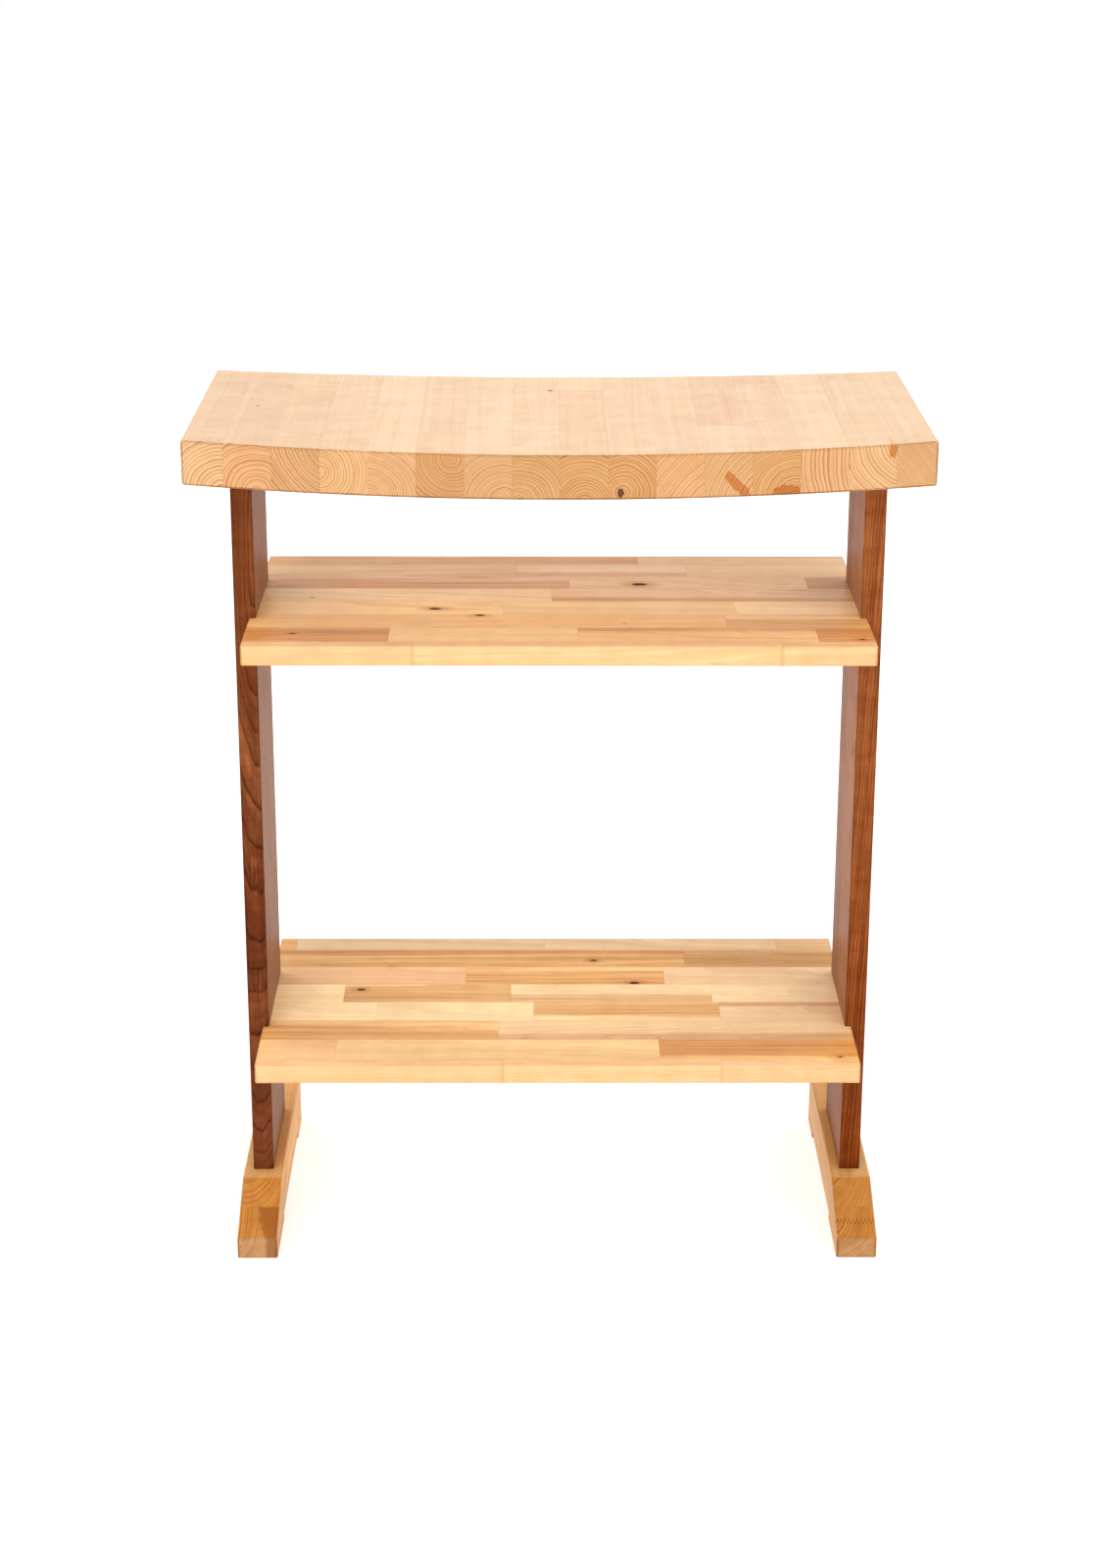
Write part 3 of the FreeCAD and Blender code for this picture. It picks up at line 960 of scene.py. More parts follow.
            # An eased face's mark is weighted by the way it faces: edges facing down take the most painted
            # shade, on top of their burnish.
            up = polygon.normal.z
            weight = UPPER_EDGE_BURNISH_AND_SHADE if up > 0.1 else LOWER_EDGE_BURNISH_AND_SHADE if up < -0.1 else SIDE_EDGE_BURNISH_AND_SHADE
            eased.append(mark.value * weight)
        write(mesh, "facing", "FLOAT_VECTOR", "FACE", facing)
        write(mesh, "eased", "FLOAT", "FACE", eased)
        count = len(mesh.polygons)
        uniform = {
            "seed": seed,
            "half_size": [half[axis] / MM for axis in order],
            "pith": [timber.pith[0], timber.pith[1], timber.spacing],
            "traits": [timber.heart, timber.streaks, timber.rings],
            "ragged": [timber.ragged] * 3,
            "end_light": timber.end_light,
            "stain_colour": timber.stain_colour,
            "lean": timber.lean,
            "knot": timber.knot,
            "fingers": timber.fingers,
            "stain_place": timber.stain_place,
            "stain_size": timber.stain_size,
            "stain_turn": timber.stain_turn,
        }
        for name, value in uniform.items():
            write(mesh, name, "FLOAT_VECTOR", "FACE", list(value) * count)


def write(mesh: bpy.types.Mesh, name: str, kind: str, domain: str, values: Sequence[float]) -> None:
    """Write one mesh attribute from a flat list of numbers."""
    attribute = mesh.attributes.get(name) or mesh.attributes.new(name, kind, domain)
    key = {"FLOAT_VECTOR": "vector", "FLOAT_COLOR": "color", "FLOAT": "value"}[kind]
    attribute.data.foreach_set(key, values)


def carve(mesh: bpy.types.Mesh, cuts: Sequence[tuple[str, bpy.types.Mesh]]) -> bpy.types.Mesh:
    """Cut a mesh with others.

    Args:
        mesh: what is cut.
        cuts: pairs of DIFFERENCE or INTERSECT and the mesh to cut with.
    Returns:
        The mesh that is left.
    """
    scene = bpy.context.scene
    blank = bpy.data.objects.new("blank", mesh)
    scene.collection.objects.link(blank)
    tools = []
    for operation, tool_mesh in cuts:
        tool = bpy.data.objects.new("tool", tool_mesh)
        scene.collection.objects.link(tool)
        tools.append(tool)
        modifier = blank.modifiers.new("cut", "BOOLEAN")
        modifier.operation = operation
        modifier.solver = "EXACT"
        modifier.object = tool
    graph = bpy.context.evaluated_depsgraph_get()
    result = bpy.data.meshes.new_from_object(blank.evaluated_get(graph))
    for spent in (blank, *tools):
        bpy.data.objects.remove(spent)
    return result


def prism(outline: Sequence[tuple[float, float]], low: float, high: float) -> bpy.types.Mesh:
    """An upright prism.

    Args:
        outline: its plan.
        low: the height of its lower end.
        high: the height of its upper end.
    Returns:
        Its mesh.
    """
    bm = bmesh.new()
    face = bm.faces.new([bm.verts.new((x, y, low)) for x, y in outline])
    drawn = bmesh.ops.extrude_face_region(bm, geom=[face])
    moved = [item for item in drawn["geom"] if isinstance(item, bmesh.types.BMVert)]
    bmesh.ops.translate(bm, vec=(0.0, 0.0, high - low), verts=moved)
    bmesh.ops.recalc_face_normals(bm, faces=bm.faces)
    mesh = bpy.data.meshes.new("prism")
    bm.to_mesh(mesh)
    bm.free()
    return mesh


def circle(x: float, y: float, radius: float, count: int = 48) -> list[tuple[float, float]]:
    """Points round a circle."""
    turn = 2 * math.pi / count
    angles = [turn * step for step in range(count)]
    return [(x + radius * math.cos(angle), y + radius * math.sin(angle)) for angle in angles]


def row_lengths(row: Sequence[Length]) -> Iterator[tuple[int, float, Length]]:
    """Number, start and description of each length in a row."""
    start = 0.0
    for number, length in enumerate(row, 1):
        yield number, start, length
        start = length.to


def outer_faces(box: Box, limits: Box) -> Callable[[bmesh.types.BMFace], bool]:
    """A test for the faces of a board that lie on the outside of what it is part of.

    Args:
        box: the board's corners.
        limits: the corners of the glued-up board.
    Returns:
        A test of a face.
    """
    outer = set()
    for axis in range(3):
        for side in (0, 1):
            if abs(box[side][axis] - limits[side][axis]) < SAME_PLANE:
                outer.add((axis, side))

    def test(face: bmesh.types.BMFace) -> bool:
        """Whether a face points out of the glued-up board."""
        axis = max(range(3), key=lambda index: abs(face.normal[index]))
        return (axis, 1 if face.normal[axis] > 0 else 0) in outer

    return test


def union(boxes: Sequence[Box]) -> Box:
    """The box round several boxes."""
    low = Vector([min(box[0][axis] for box in boxes) for axis in range(3)])
    high = Vector([max(box[1][axis] for box in boxes) for axis in range(3)])
    return low, high


# ---------------------------------------------------------------- the top


def plain(tone: Tone, **traits: object) -> tuple[Length, ...]:
    """A row in one length."""
    return (Length(1.0, Timber(tone, **traits)),)


STAVES: tuple[tuple[Length, ...], ...] = (
    plain(Tone.PEACH, pith=(17.0, -22.0), spacing=3.1, lighter=0.97, end_light=(1.22, 1.40, 1.65)),
    plain(Tone.ROSE, pith=(6.0, -19.0), spacing=3.4, rings=0.8, knot=(2.0, -4.0, 0.9),
          end_light=(1.12, 1.12, 1.12)),
    (
        Length(0.80, Timber(Tone.PEACH, pith=(34.0, 27.0), spacing=2.7, rings=1.6, lighter=0.98,
                            end_light=(1.04, 1.07, 1.13))),
        Length(1.00, Timber(Tone.PALE, pith=(-30.0, 26.0), spacing=2.6, lighter=0.98)),
    ),
    (
        Length(0.31, Timber(Tone.PEACH, pith=(-20.0, 0.0), spacing=2.6, rings=1.1,
                            end_light=(1.16, 1.27, 1.39))),
        Length(1.00, Timber(Tone.PALE, pith=(40.0, -10.0), spacing=2.4)),
    ),
    plain(Tone.MILK, pith=(-20.0, -20.0), spacing=2.1, rings=1.1, lighter=1.01,
          end_light=(1.05, 1.05, 1.13)),
    (
        Length(0.26, Timber(Tone.PEACH, pith=(10.0, 15.0), spacing=2.7, rings=0.7, lighter=1.01,
                            end_light=(0.91, 0.85, 0.75))),
        Length(1.00, Timber(Tone.PALE, pith=(30.0, 30.0), spacing=2.5, lighter=1.01)),
    ),
    plain(Tone.MILK, pith=(11.0, -20.0), spacing=2.2, rings=0.8, lighter=0.98, end_light=(0.98, 0.98, 0.98)),
    (
        Length(0.36, Timber(Tone.MILK, pith=(-13.0, -19.0), spacing=2.4, rings=1.1,
                            end_light=(0.93, 0.93, 0.83),
                            stain_place=(-54.0, -12.5, -19.0), stain_size=(5.0, 2.2, 1.6),
                            stain_colour=PITCH_BROWN)),
        Length(1.00, Timber(Tone.PALE, pith=(-25.0, -30.0), spacing=2.3, knot=(38.0, 13.0, 1.3),
                            lighter=1.01)),
    ),
    (
        Length(0.81, Timber(Tone.PEACH, pith=(0.0, -25.0), spacing=2.7, rings=1.0, lighter=1.02,
                            end_light=(0.95, 0.95, 0.85))),
        Length(1.00, Timber(Tone.MILK, pith=(20.0, -36.0), spacing=2.5)),
    ),
    plain(Tone.PALE, pith=(-8.0, -12.0), spacing=2.8, rings=1.15, end_light=(0.95, 0.89, 0.79),
          stain_place=(-150.0, -10.0, -13.5), stain_size=(7.0, 2.4, 3.8), stain_colour=PITCH_BROWN,
          ragged=2.6),
    plain(Tone.PALE, pith=(70.0, -62.0), spacing=2.4, rings=1.1, lighter=0.99, end_light=(1.08, 1.08, 1.08)),
    (
        Length(0.32, Timber(Tone.MILK, pith=(60.0, -38.0), spacing=2.3, rings=1.0, lighter=0.98,
                            stain_place=(-48.0, 7.5, -8.0), stain_size=(9.0, 15.0, 4.6),
                            stain_turn=(0.80, 0.0, 0.0), end_light=(1.03, 1.03, 1.03))),
        Length(0.81, Timber(Tone.ROSE, pith=(36.0, -14.0), spacing=2.6, lighter=1.02)),
        Length(1.00, Timber(Tone.PEACH, pith=(-36.0, -14.0), spacing=2.6, lighter=0.99)),
    ),
    (
        Length(0.86, Timber(Tone.PALE, pith=(16.0, -20.0), spacing=2.5, rings=1.05, lighter=0.98,
                            stain_place=(-129.0, 9.5, -15.0), stain_size=(9.0, 13.0, 5.0),
                            end_light=(0.99, 0.95, 0.84))),
        Length(1.00, Timber(Tone.ROSE, pith=(-20.0, 30.0), spacing=2.4, lighter=1.02)),
    ),
    plain(Tone.MILK, pith=(112.0, 8.0), spacing=3.5, rings=1.5, end_light=(1.10, 1.10, 1.21)),
    (
        Length(0.49, Timber(Tone.PALE, pith=(36.0, 28.0), spacing=2.9, rings=0.9,
                            end_light=(1.07, 1.13, 1.25),
                            stain_place=(-66.0, 16.5, 15.0), stain_size=(27.0, 3.6, 7.5))),
        Length(0.90, Timber(Tone.MILK, pith=(-30.0, 30.0), spacing=2.6, lighter=0.97)),
        Length(1.00, Timber(Tone.PEACH, pith=(20.0, 30.0), spacing=2.6)),
    ),
    plain(Tone.PALE, pith=(-80.0, -60.0), spacing=1.7, rings=0.35, lighter=0.97,
          end_light=(0.96, 0.94, 0.94)),
)


@dataclass
class Top:
    """The dished top of edge-glued staves.

    Its ends' height is 0.01 mm under the CAD's, so that rounded edges stay inside the CAD box.
    """

    finish: bpy.types.Material
    thickness: float = 0.0385
    height_at_ends: float = 0.76999
    front_dish: float = 0.0126
    rear_dish: float = 0.0063
    easing: float = 0.0020
    limits: Box = field(init=False)

    def __post_init__(self) -> None:
        """Take the top's outline from the frame."""
        boxes = [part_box(self.node(number)) for number in range(1, len(STAVES) + 1)]
        self.limits = union(boxes)

    @staticmethod
    def node(number: int) -> str:
        """Name of a stave's CAD node."""
        return f"top_stave_{number:02d}"

    def drop(self, x: float, y: float) -> float:
        """How far the dished face lies under the ends' height at a point of the top."""
        low, high = self.limits
        back = (y - low.y) / (high.y - low.y)
        dish = self.front_dish + back * (self.rear_dish - self.front_dish)
        half = (high.x - low.x) / 2
        radius = (half ** 2 + dish ** 2) / (2 * dish)
        rise = radius - math.sqrt(radius ** 2 - min(abs(x), half) ** 2)
        return dish - rise

    def underside(self, x: float, y: float) -> float:
        """Height of the underside over a point of the floor."""
        return self.height_at_ends - self.thickness - self.drop(x, y)

    def dished(self, point: Vector) -> Vector:
        """Move a point of the flat slab onto the dished one."""
        return Vector((point.x, point.y, point.z - self.drop(point.x, point.y)))

    def build(self) -> None:
        """Build every length of every stave."""
        low, high = self.limits
        slab = (Vector((low.x, low.y, self.height_at_ends - self.thickness)),
                Vector((high.x, high.y, self.height_at_ends)))
        depth = high.y - low.y
        for stave_number, row in enumerate(STAVES, 1):
            node = self.node(stave_number)
            stave_low, stave_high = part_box(node)
            for number, start, length in row_lengths(row):
                box = (Vector((stave_low.x, low.y + start * depth, slab[0].z)),
                       Vector((stave_high.x, low.y + length.to * depth, slab[1].z)))
                Board(
                    name=f"stave_{stave_number:02d}_length_{number}", nodes=[node], grain=Grain.STAVE,
                    timber=length.timber, finish=self.finish, slot=TOP_MAPLE.slot, easing=self.easing,
                    box=box, cell=(0.010, 0.015, 0.020), worked=outer_faces(box, slab), shape=self.dished,
                ).build()


# ---------------------------------------------------------------- the shelves


def strip(tone: Tone, **traits: object) -> Timber:
    """Timber of a shelf strip: nearly flat sawn, with the pith well under the face."""
    values = {"pith": (14.0, -46.0), "spacing": 3.4, "lean": (0.01, 0.03, 0.0), "fingers": (0.0, 1.9, 3.8)}
    values.update(traits)
    return Timber(tone, **values)


UPPER_SHELF: tuple[tuple[Length, ...], ...] = (
    (
        Length(0.27, strip(Tone.STRAW, rings=0.8, lighter=0.95)),
        Length(0.85, strip(Tone.STRAW, pith=(-30.0, -8.0), rings=1.0)),
        Length(1.00, strip(Tone.STRAW, rings=0.7, lighter=0.97)),
    ),
    (
        Length(0.23, strip(Tone.AMBER, heart=-0.98, streaks=0.9, pith=(-10.0, -20.0),
                           knot=(-21.0, 3.0, 1.7))),
        Length(0.53, strip(Tone.APRICOT, rings=0.6, lighter=1.03)),
        Length(0.91, strip(Tone.HONEY, streaks=0.35, rings=0.9, heart=-0.26, lighter=1.04)),
        Length(1.00, strip(Tone.AMBER, heart=0.97, streaks=0.9, knot=(13.0, -14.0, 1.8), lighter=0.97)),
    ),
    (
        Length(0.77, strip(Tone.HONEY, streaks=0.3, pith=(-24.0, -20.0), knot=(-7.0, 18.5, 3.0),
                           lighter=1.05,
                           stain_place=(120.5, -7.0, 9.0), stain_size=(1.0, 3.0, 2.5),
                           stain_colour=PITCH_BROWN)),
        Length(1.00, strip(Tone.BLOND, heart=0.7, streaks=0.6, lighter=1.11)),
    ),
    (
        Length(0.41, strip(Tone.BLOND, streaks=0.1, knot=(51.0, -3.3, 3.7), lighter=1.08)),
        Length(0.79, strip(Tone.BLOND, pith=(30.0, -30.0), lighter=1.01)),
        Length(1.00, strip(Tone.CREAM, rings=0.4, lighter=1.09)),
    ),
    (
        Length(0.49, strip(Tone.CREAM, rings=0.7, knot=(-83.0, -9.0, 0.8), lighter=1.01)),
        Length(1.00, strip(Tone.FAWN, heart=0.32, streaks=0.2, lighter=1.05)),
    ),
    (
        Length(0.52, strip(Tone.MILK, heart=0.68, streaks=0.85, pith=(22.0, -20.0), lighter=1.09)),
        Length(0.92, strip(Tone.FAWN, streaks=0.12, knot=(-45.0, -6.3, 4.8), lighter=0.99)),
        Length(1.00, strip(Tone.FAWN, heart=0.97, streaks=0.9, lighter=0.99)),
    ),
    (
        Length(0.43, strip(Tone.FAWN, streaks=0.5, pith=(-20.0, -16.0))),
        Length(0.72, strip(Tone.MILK, heart=0.36, pith=(-10.0, -30.0), lighter=1.01)),
        Length(1.00, strip(Tone.FAWN, lighter=1.0)),
    ),
    (
        Length(0.64, strip(Tone.FAWN, heart=0.9, streaks=0.6, pith=(10.0, -18.0), lighter=1.02)),
        Length(1.00, strip(Tone.FAWN, streaks=0.35, pith=(40.0, -20.0), heart=-0.2, lighter=0.97)),
    ),
)
LOWER_SHELF: tuple[tuple[Length, ...], ...] = (
    (
        Length(0.41, strip(Tone.STRAW, rings=0.7, lighter=0.97)),
        Length(0.77, strip(Tone.STRAW, rings=0.9)),
        Length(1.00, strip(Tone.STRAW, rings=0.6, lighter=0.97)),
    ),
    (
        Length(0.13, strip(Tone.STRAW)),
        Length(0.67, strip(Tone.APRICOT, rings=0.7, lighter=0.975)),
        Length(1.00, strip(Tone.AMBER, heart=-0.9, streaks=0.85, pith=(-18.0, -18.0),
                           knot=(73.0, -17.0, 1.3),
                           lighter=0.98)),
    ),
    (
        Length(0.40, strip(Tone.HONEY, streaks=0.8, heart=0.5, pith=(4.0, -22.0), lighter=1.04)),
        Length(1.00, strip(Tone.FAWN, heart=0.34, pith=(-20.0, -40.0), lighter=1.09)),
    ),
    (
        Length(0.19, strip(Tone.CREAM, rings=0.5, lighter=1.16)),
        Length(0.46, strip(Tone.CREAM, rings=0.4, lighter=1.05)),
        Length(0.78, strip(Tone.BLOND, heart=-0.8, streaks=0.7, pith=(-24.0, -18.0), lighter=1.06)),
        Length(1.00, strip(Tone.FAWN, heart=-0.22, lighter=1.09)),
    ),
    (
        Length(0.13, strip(Tone.CREAM, lighter=1.17, rings=0.5)),
        Length(0.42, strip(Tone.BLOND, heart=0.96, streaks=0.85, pith=(14.0, -16.0), knot=(-64.0, 8.9, 2.8),
                           lighter=1.02)),
        Length(0.77, strip(Tone.CREAM, heart=0.42)),
        Length(1.00, strip(Tone.CREAM, rings=0.4, lighter=1.01)),
    ),
    (
        Length(0.34, strip(Tone.STRAW, rings=0.5, lighter=0.93)),
        Length(0.69, strip(Tone.HONEY, heart=0.75, streaks=0.7, pith=(6.0, -14.0), knot=(66.8, -18.0, 3.4),
                           lighter=1.05)),
        Length(1.00, strip(Tone.FAWN, streaks=0.06, lighter=1.03, rings=0.6)),
    ),
    (
        Length(0.73, strip(Tone.AMBER, streaks=0.62, heart=-0.3, pith=(-14.0, -16.0),
                           knot=(110.5, -4.9, 2.4),
                           stain_place=(-88.0, -19.0, 9.0), stain_size=(1.6, 1.2, 2.5),
                           stain_colour=PITCH_BROWN,
                           lighter=0.82)),
        Length(1.00, strip(Tone.HONEY, heart=0.97, streaks=0.9, lighter=0.78)),
    ),
    (
        Length(0.03, strip(Tone.HONEY, heart=0.9)),
        Length(0.48, strip(Tone.FAWN, rings=0.6, lighter=0.88)),
        Length(0.90, strip(Tone.FAWN, lighter=0.89, rings=0.8)),
        Length(1.00, strip(Tone.STRAW, lighter=0.72)),
    ),
)


@dataclass
class Shelf:
    """A shelf of edge-glued strips, housed in the side panels."""

    name: str
    rows: tuple[tuple[Length, ...], ...]
    finish: bpy.types.Material
    easing: float = 0.0012

    def node(self, number: int) -> str:
        """Name of a strip's CAD node."""
        return f"{self.name}_strip_{number}"

    def limits(self) -> Box:
        """The whole shelf's corners, from the frame."""
        return union([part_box(self.node(number)) for number in range(1, len(self.rows) + 1)])

    def build(self) -> None:
        """Build every length of every strip."""
        board = self.limits()
        for row_number, row in enumerate(self.rows, 1):
            low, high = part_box(self.node(row_number))
            for number, start, length in row_lengths(row):
                box = (Vector((low.x + start * (high.x - low.x), low.y, low.z)),
                       Vector((low.x + length.to * (high.x - low.x), high.y, high.z)))
                Board(
                    name=f"{self.node(row_number)}_length_{number}", nodes=[self.node(row_number)],
                    grain=Grain.STRIP, timber=length.timber, finish=self.finish, slot=SHELF_BIRCH.slot,
                    easing=self.easing, box=box, cell=(0.018, 0.02, 0.02), worked=outer_faces(box, board),
                ).build()


# ---------------------------------------------------------------- the side panels


@dataclass
class SidePanel:
    """An upright panel of two walnut boards, grooved for the shelves."""

    side: str
    finish: bpy.types.Material
    top: Top
    shelves: Sequence[Shelf]
    front: Timber
    rear: Timber
    easing: float = 0.0010

    def outline(self, box: Box) -> list[tuple[float, float]]:
        """Section of the panel across the room: a tall board with a groove for each shelf."""
        low, high = box
        is_left = self.side == "left"
        outer, inner = (low.x, high.x) if is_left else (high.x, low.x)
        points = [(outer, low.z), (inner, low.z)]
        for shelf in sorted(self.shelves, key=lambda item: item.limits()[0].z):
            shelf_low, shelf_high = shelf.limits()
            groove = shelf_low.x if is_left else shelf_high.x
            points += [(inner, shelf_low.z), (groove, shelf_low.z)]
            points += [(groove, shelf_high.z), (inner, shelf_high.z)]
        crown = self.top.height_at_ends
        points += [(inner, crown), (outer, crown)]
        return points

    def fitted(self, point: Vector) -> Vector:
        """Bring the top end of the panel down onto the dished underside."""
        height = self.top.underside(point.x, point.y)
        return Vector((point.x, point.y, min(point.z, height)))

    def build(self) -> None:
        """Build the front and the rear board."""
        names = {place: f"{self.side}_panel_{place}_board" for place in ("front", "rear")}
        whole = union([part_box(node) for node in names.values()])
        for place, timber in (("front", self.front), ("rear", self.rear)):
            low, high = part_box(names[place])
            box = (Vector(low), Vector((high.x, high.y, self.top.height_at_ends)))

            def worked(face: bmesh.types.BMFace, low: Vector = low, high: Vector = high) -> bool:
                """Whether a face is an outer face: not in a groove, at an end or on the glue line."""
                normal = face.normal
                middle = face.calc_center_median()
                if abs(normal.z) > 0.5:
                    return False
                if abs(normal.y) > 0.5:
                    return abs(middle.y - (whole[0].y if normal.y < 0 else whole[1].y)) < SAME_PLANE
                return min(abs(middle.x - low.x), abs(middle.x - high.x)) < SAME_PLANE

            Board(
                name=names[place] + "_piece", nodes=[names[place]], grain=Grain.UPRIGHT, timber=timber,
                finish=self.finish, slot=WALNUT.slot, easing=self.easing, box=box,
                cell=(0.019, 0.02, 0.02), worked=worked, shape=self.fitted,
                outline=self.outline((low, high)), outline_axis=1,
            ).build()


# ---------------------------------------------------------------- the feet


RIGHT_FINGERS = (15.0, 6.0, 3.7)


@dataclass
class Foot:
    """A foot of two laminations with a sloping toe; the right one has a finger-jointed toe block."""

    side: str
    finish: bpy.types.Material
    lower: Timber
    upper: Timber
    toe: Timber | None = None
    toe_height: float = 0.020
    toe_run: float = 0.067
    relief_height: float = 0.007
    front_pad: float = 0.075
    rear_pad: float = 0.045
    screw_spread: float = 0.080
    bore_width: float = 0.017
    easing: float = 0.0022
    finger_count: int = 10
    finger_length: float = 0.006
    finger_setback: float = 0.021

    def corners(self) -> Box:
        """The whole foot's corners, from the frame."""
        nodes = [f"{self.side}_foot_upper", f"{self.side}_foot_lower"]
        if self.side == "right":
            nodes.append("right_foot_toe_block")
        return union([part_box(node) for node in nodes])

    def outline(self, part: str) -> list[tuple[float, float]]:
        """Side view of one lamination.

        Args:
            part: "lower" or "upper".
        Returns:
            The outline's points, as distance from front to back and height.
        """
        low, high = self.corners()
        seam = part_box(f"{self.side}_foot_upper")[0].z
        toe, heel = low.y, high.y
        slope_share = (seam - self.toe_height) / (high.z - self.toe_height)
        on_slope = toe + slope_share * self.toe_run
        if part == "upper":
            return [(on_slope, seam), (toe + self.toe_run, high.z), (heel, high.z), (heel, seam)]
        return [
            (toe, low.z), (toe, self.toe_height), (on_slope, seam), (heel, seam), (heel, low.z),
            (heel - self.rear_pad, low.z), (heel - self.rear_pad, self.relief_height),
            (toe + self.front_pad, self.relief_height), (toe + self.front_pad, low.z),
        ]

    def counterbores(self) -> list[tuple[str, bpy.types.Mesh]]:
        """The two bores under the foot that the screws' heads sit in."""
        low, high = self.corners()
        middle = (low.x + high.x) / 2
        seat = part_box("foot_washers")[1].z
        cuts = []
        for y in (-self.screw_spread / 2, self.screw_spread / 2):
            plan = circle(middle, y, self.bore_width / 2)
            cuts.append(("DIFFERENCE", prism(plan, low.z - 0.01, seat)))
        return cuts

    def finger_plan(self) -> list[tuple[float, float]]:
        """Plan of all that lies in front of the finger joint."""
        low, high = self.corners()
        tips = low.y + self.finger_setback
        roots = tips - self.finger_length
        pitch = (high.x - low.x) / self.finger_count
        front = low.y - 0.01
        margin = 0.001
        points = [(low.x - margin, front), (low.x - margin, roots), (low.x, roots)]
        for finger in range(self.finger_count):
            start = low.x + finger * pitch
            points += [(start + pitch / 2, tips), (start + pitch, roots)]
        points += [(high.x + margin, roots), (high.x + margin, front)]
        return points

    def board(self, part: str, timber: Timber, name: str, node: str,
              cuts: Sequence[tuple[str, bpy.types.Mesh]]) -> Board:
        """Describe one lamination.

        Args:
            part: "lower" or "upper".
            timber: what the lamination shows.
            name: the piece's name.
            node: the CAD node that it stands for.
            cuts: what is cut from it.
        Returns:
            The lamination, ready to build.
        """
        low, high = self.corners()
        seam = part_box(f"{self.side}_foot_upper")[0].z
        floor, ceiling = (low.z, seam) if part == "lower" else (seam, high.z)
        box = (Vector((low.x, low.y, floor)), Vector((high.x, high.y, ceiling)))
        hollow = self.relief_height + 0.5 * MM

        def worked(face: bmesh.types.BMFace) -> bool:
            """Whether a face is an outer face of the foot, outside the hollow under it."""
            middle = face.calc_center_median()
            if abs(middle.z - seam) < SAME_PLANE:
                return False
            at_end = min(abs(middle.y - low.y), abs(middle.y - high.y)) < SAME_PLANE
            in_hollow = middle.z < hollow and not at_end and abs(face.normal.x) < 0.5
            return not in_hollow

        return Board(
            name=name, nodes=[node], grain=Grain.FOOT, timber=timber, finish=self.finish,
            slot=FOOT_MAPLE.slot, easing=self.easing, box=box, cell=(0.0125, 0.012, 0.02), worked=worked,
            outline=self.outline(part), outline_axis=0, cuts=cuts,
        )

    def build(self) -> None:
        """Build the two laminations and, on the right, the toe block."""
        side = self.side
        self.board("upper", self.upper, f"{side}_foot_upper_lamination", f"{side}_foot_upper", ()).build()
        cuts = self.counterbores()
        if self.toe is not None:
            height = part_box(f"{side}_foot_upper")[0].z
            toe = prism(self.finger_plan(), -0.01, height + 0.01)
            self.board("lower", self.toe, f"{side}_foot_toe", f"{side}_foot_toe_block",
                       [("INTERSECT", toe)]).build()
            cuts.append(("DIFFERENCE", toe.copy()))
        self.board("lower", self.lower, f"{side}_foot_lower_lamination", f"{side}_foot_lower", cuts).build()


# ---------------------------------------------------------------- fasteners


@dataclass
class Fasteners:
    """Screws, washers and dowels: their CAD shapes stay, with finishes of their own."""

    steel: bpy.types.Material
    beech: bpy.types.Material

    def build(self) -> None:
        """Dress the CAD nodes."""
        finishes = {"foot_screws": self.steel, "foot_washers": self.steel, "top_dowels": self.beech}
        for node, finish in finishes.items():
            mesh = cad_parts[node].data
            mesh.materials.clear()
            mesh.materials.append(finish)
            log.info("%s: dressed as %s", node, finish.name)


# ---------------------------------------------------------------- the studio


@dataclass(frozen=True)
class Lamp:
    """A large square lamp: its name, where it stands, its side in metres and its power in watts."""

    name: str
    place: Triple
    size: float
    power: float


LAMPS = (
    Lamp("key_light", (-1.5, -2.9, 2.3), 1.8, 38.0),
    Lamp("fill_light", (1.9, -2.6, 1.9), 1.8, 24.0),
    Lamp("left_rear_light", (-2.6, 1.9, 1.7), 1.6, 34.0),
    Lamp("right_rear_light", (2.6, 1.9, 1.7), 1.6, 34.0),
)


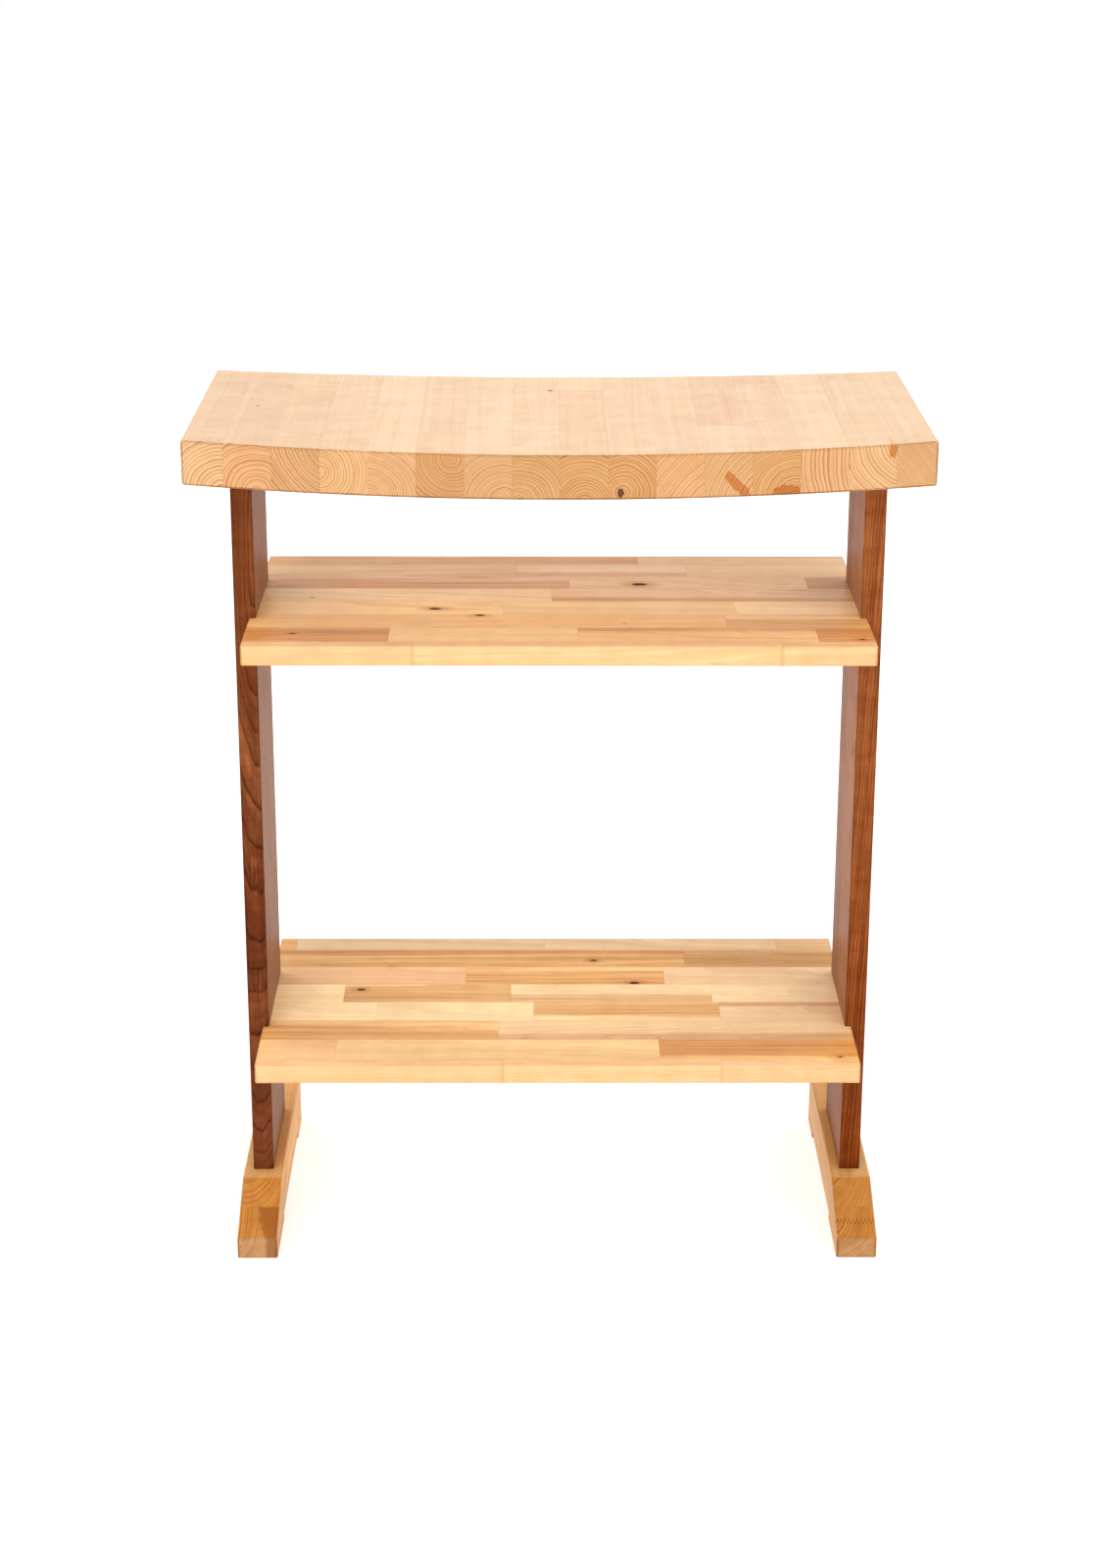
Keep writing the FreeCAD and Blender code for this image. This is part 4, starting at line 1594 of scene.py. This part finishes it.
@dataclass
class Studio:
    """A pale seamless floor, soft light from all round and the camera."""

    camera_place: Triple = (-0.0217, -2.5176, 1.2999)
    pitch: float = 19.404
    yaw: float = 0.549
    roll: float = 0.200
    lens: float = 66.2
    floor_radius: float = 9.0
    sky: float = 1.0
    floor_glow: float = 0.62
    floor_tone: Colour = (0.55, 0.55, 0.55)
    lit_place: Triple = (0.0, 0.0, 0.42)

    def floor(self) -> None:
        """A pale round floor."""
        bm = bmesh.new()
        bmesh.ops.create_circle(bm, cap_ends=True, radius=self.floor_radius, segments=96)
        mesh = bpy.data.meshes.new("studio_floor")
        bm.to_mesh(mesh)
        bm.free()
        material = bpy.data.materials.new("studio_paper")
        material.use_nodes = True
        shader = material.node_tree.nodes["Principled BSDF"]
        shader.inputs["Base Color"].default_value = opaque(self.floor_tone)
        shader.inputs["Emission Color"].default_value = opaque(WHITE)
        shader.inputs["Emission Strength"].default_value = self.floor_glow
        shader.inputs["Roughness"].default_value = 0.9
        shader.inputs["Specular IOR Level"].default_value = 0.1
        mesh.materials.append(material)
        floor = bpy.data.objects.new("studio_floor", mesh)
        bpy.context.scene.collection.objects.link(floor)

    def hang(self, lamp: Lamp) -> None:
        """Put up a lamp that faces the table."""
        light = bpy.data.lights.new(lamp.name, "AREA")
        light.shape = "SQUARE"
        light.size = lamp.size
        light.energy = lamp.power
        stand = bpy.data.objects.new(lamp.name, light)
        stand.location = lamp.place
        aim = Vector(self.lit_place) - Vector(lamp.place)
        stand.rotation_euler = aim.to_track_quat("-Z", "Y").to_euler()
        bpy.context.scene.collection.objects.link(stand)

    def light(self) -> None:
        """White surroundings, and four large lamps."""
        world = bpy.data.worlds.new("studio")
        world.use_nodes = True
        background = world.node_tree.nodes["Background"]
        background.inputs["Color"].default_value = opaque(WHITE)
        background.inputs["Strength"].default_value = self.sky
        bpy.context.scene.world = world
        for lamp in LAMPS:
            self.hang(lamp)

    def camera(self) -> None:
        """The camera, in front of the table and above it."""
        data = bpy.data.cameras.new("camera")
        data.lens = self.lens
        data.sensor_fit = "AUTO"
        data.sensor_width = 36.0
        camera = bpy.data.objects.new("camera", data)
        turn = Matrix.Rotation(math.radians(-self.yaw), 4, "Z")
        tip = Matrix.Rotation(math.radians(90.0 - self.pitch), 4, "X")
        lean = Matrix.Rotation(math.radians(self.roll), 4, "Z")
        camera.matrix_world = Matrix.Translation(self.camera_place) @ turn @ tip @ lean
        bpy.context.scene.collection.objects.link(camera)
        bpy.context.scene.camera = camera

    def build(self) -> None:
        """Set the studio up."""
        self.floor()
        self.light()
        self.camera()
        bpy.context.scene.view_settings.view_transform = "Standard"


# ---------------------------------------------------------------- the table


def main() -> None:
    """Build the studio and every piece of the table."""
    Studio().build()
    effects = Effects()
    maple = TOP_MAPLE.material(effects)
    birch = SHELF_BIRCH.material(effects)
    walnut = WALNUT.material(effects)
    foot_maple = FOOT_MAPLE.material(effects)
    top = Top(maple)
    top.build()
    shelves = [Shelf("upper_shelf", UPPER_SHELF, birch), Shelf("lower_shelf", LOWER_SHELF, birch)]
    for shelf in shelves:
        shelf.build()
    # The walnut boards are painted lighter towards the top and darker towards the bottom, per colour
    # channel: painted light and shade.
    left = Timber(Tone.WALNUT, pith=(-66.0, 3.0), spacing=4.0, lean=(0.11, 0.02, 0.0), streaks=0.55,
                  rings=1.6, fade=(0.12, 0.18, 0.10), lighter=1.07,
                  stain_place=(-112.0, -40.0, 3.0), stain_size=(62.0, 40.0, 16.0),
                  stain_colour=(0.66, 0.50, 0.40), ragged=3.4)
    right = Timber(Tone.RED_WALNUT, pith=(-48.0, 64.0), spacing=2.9, lean=(0.01, 0.05, 0.0), streaks=0.25,
                   rings=2.1, fade=(0.27, 0.50, 0.90), knot=(50.0, -18.0, 2.6), lighter=1.05)
    rear = Timber(Tone.WALNUT, pith=(-40.0, 26.0), spacing=4.2, lean=(0.02, 0.02, 0.0001), streaks=0.3,
                  fade=(0.24, 0.32, 0.30))
    SidePanel("left", walnut, top, shelves, front=left, rear=rear).build()
    SidePanel("right", walnut, top, shelves, front=right, rear=rear).build()
    Foot(
        "left", foot_maple,
        lower=Timber(Tone.OILED, pith=(11.0, -56.0), spacing=2.4, rings=1.4, lighter=1.03,
                     stain_place=(-100.0, 0.0, 22.0), stain_size=(60.0, 400.0, 23.5),
                     stain_colour=(0.64, 0.52, 0.50), ragged=0.25),
        upper=Timber(Tone.OILED, pith=(27.0, -13.0), spacing=3.9, rings=0.7, lighter=1.04),
    ).build()
    Foot(
        "right", foot_maple,
        lower=Timber(Tone.OILED, pith=(30.0, -30.0), spacing=2.6, rings=0.5, fingers=RIGHT_FINGERS,
                     lighter=0.92),
        upper=Timber(Tone.OILED, pith=(24.0, -26.0), spacing=3.0, rings=0.5, lighter=0.92),
        toe=Timber(Tone.OILED, pith=(24.0, -28.0), spacing=2.6, rings=2.4, fingers=RIGHT_FINGERS),
    ).build()
    Fasteners(SteelFinish().material(effects), DowelFinish().material(effects)).build()


if __name__ == "__main__":
    main()
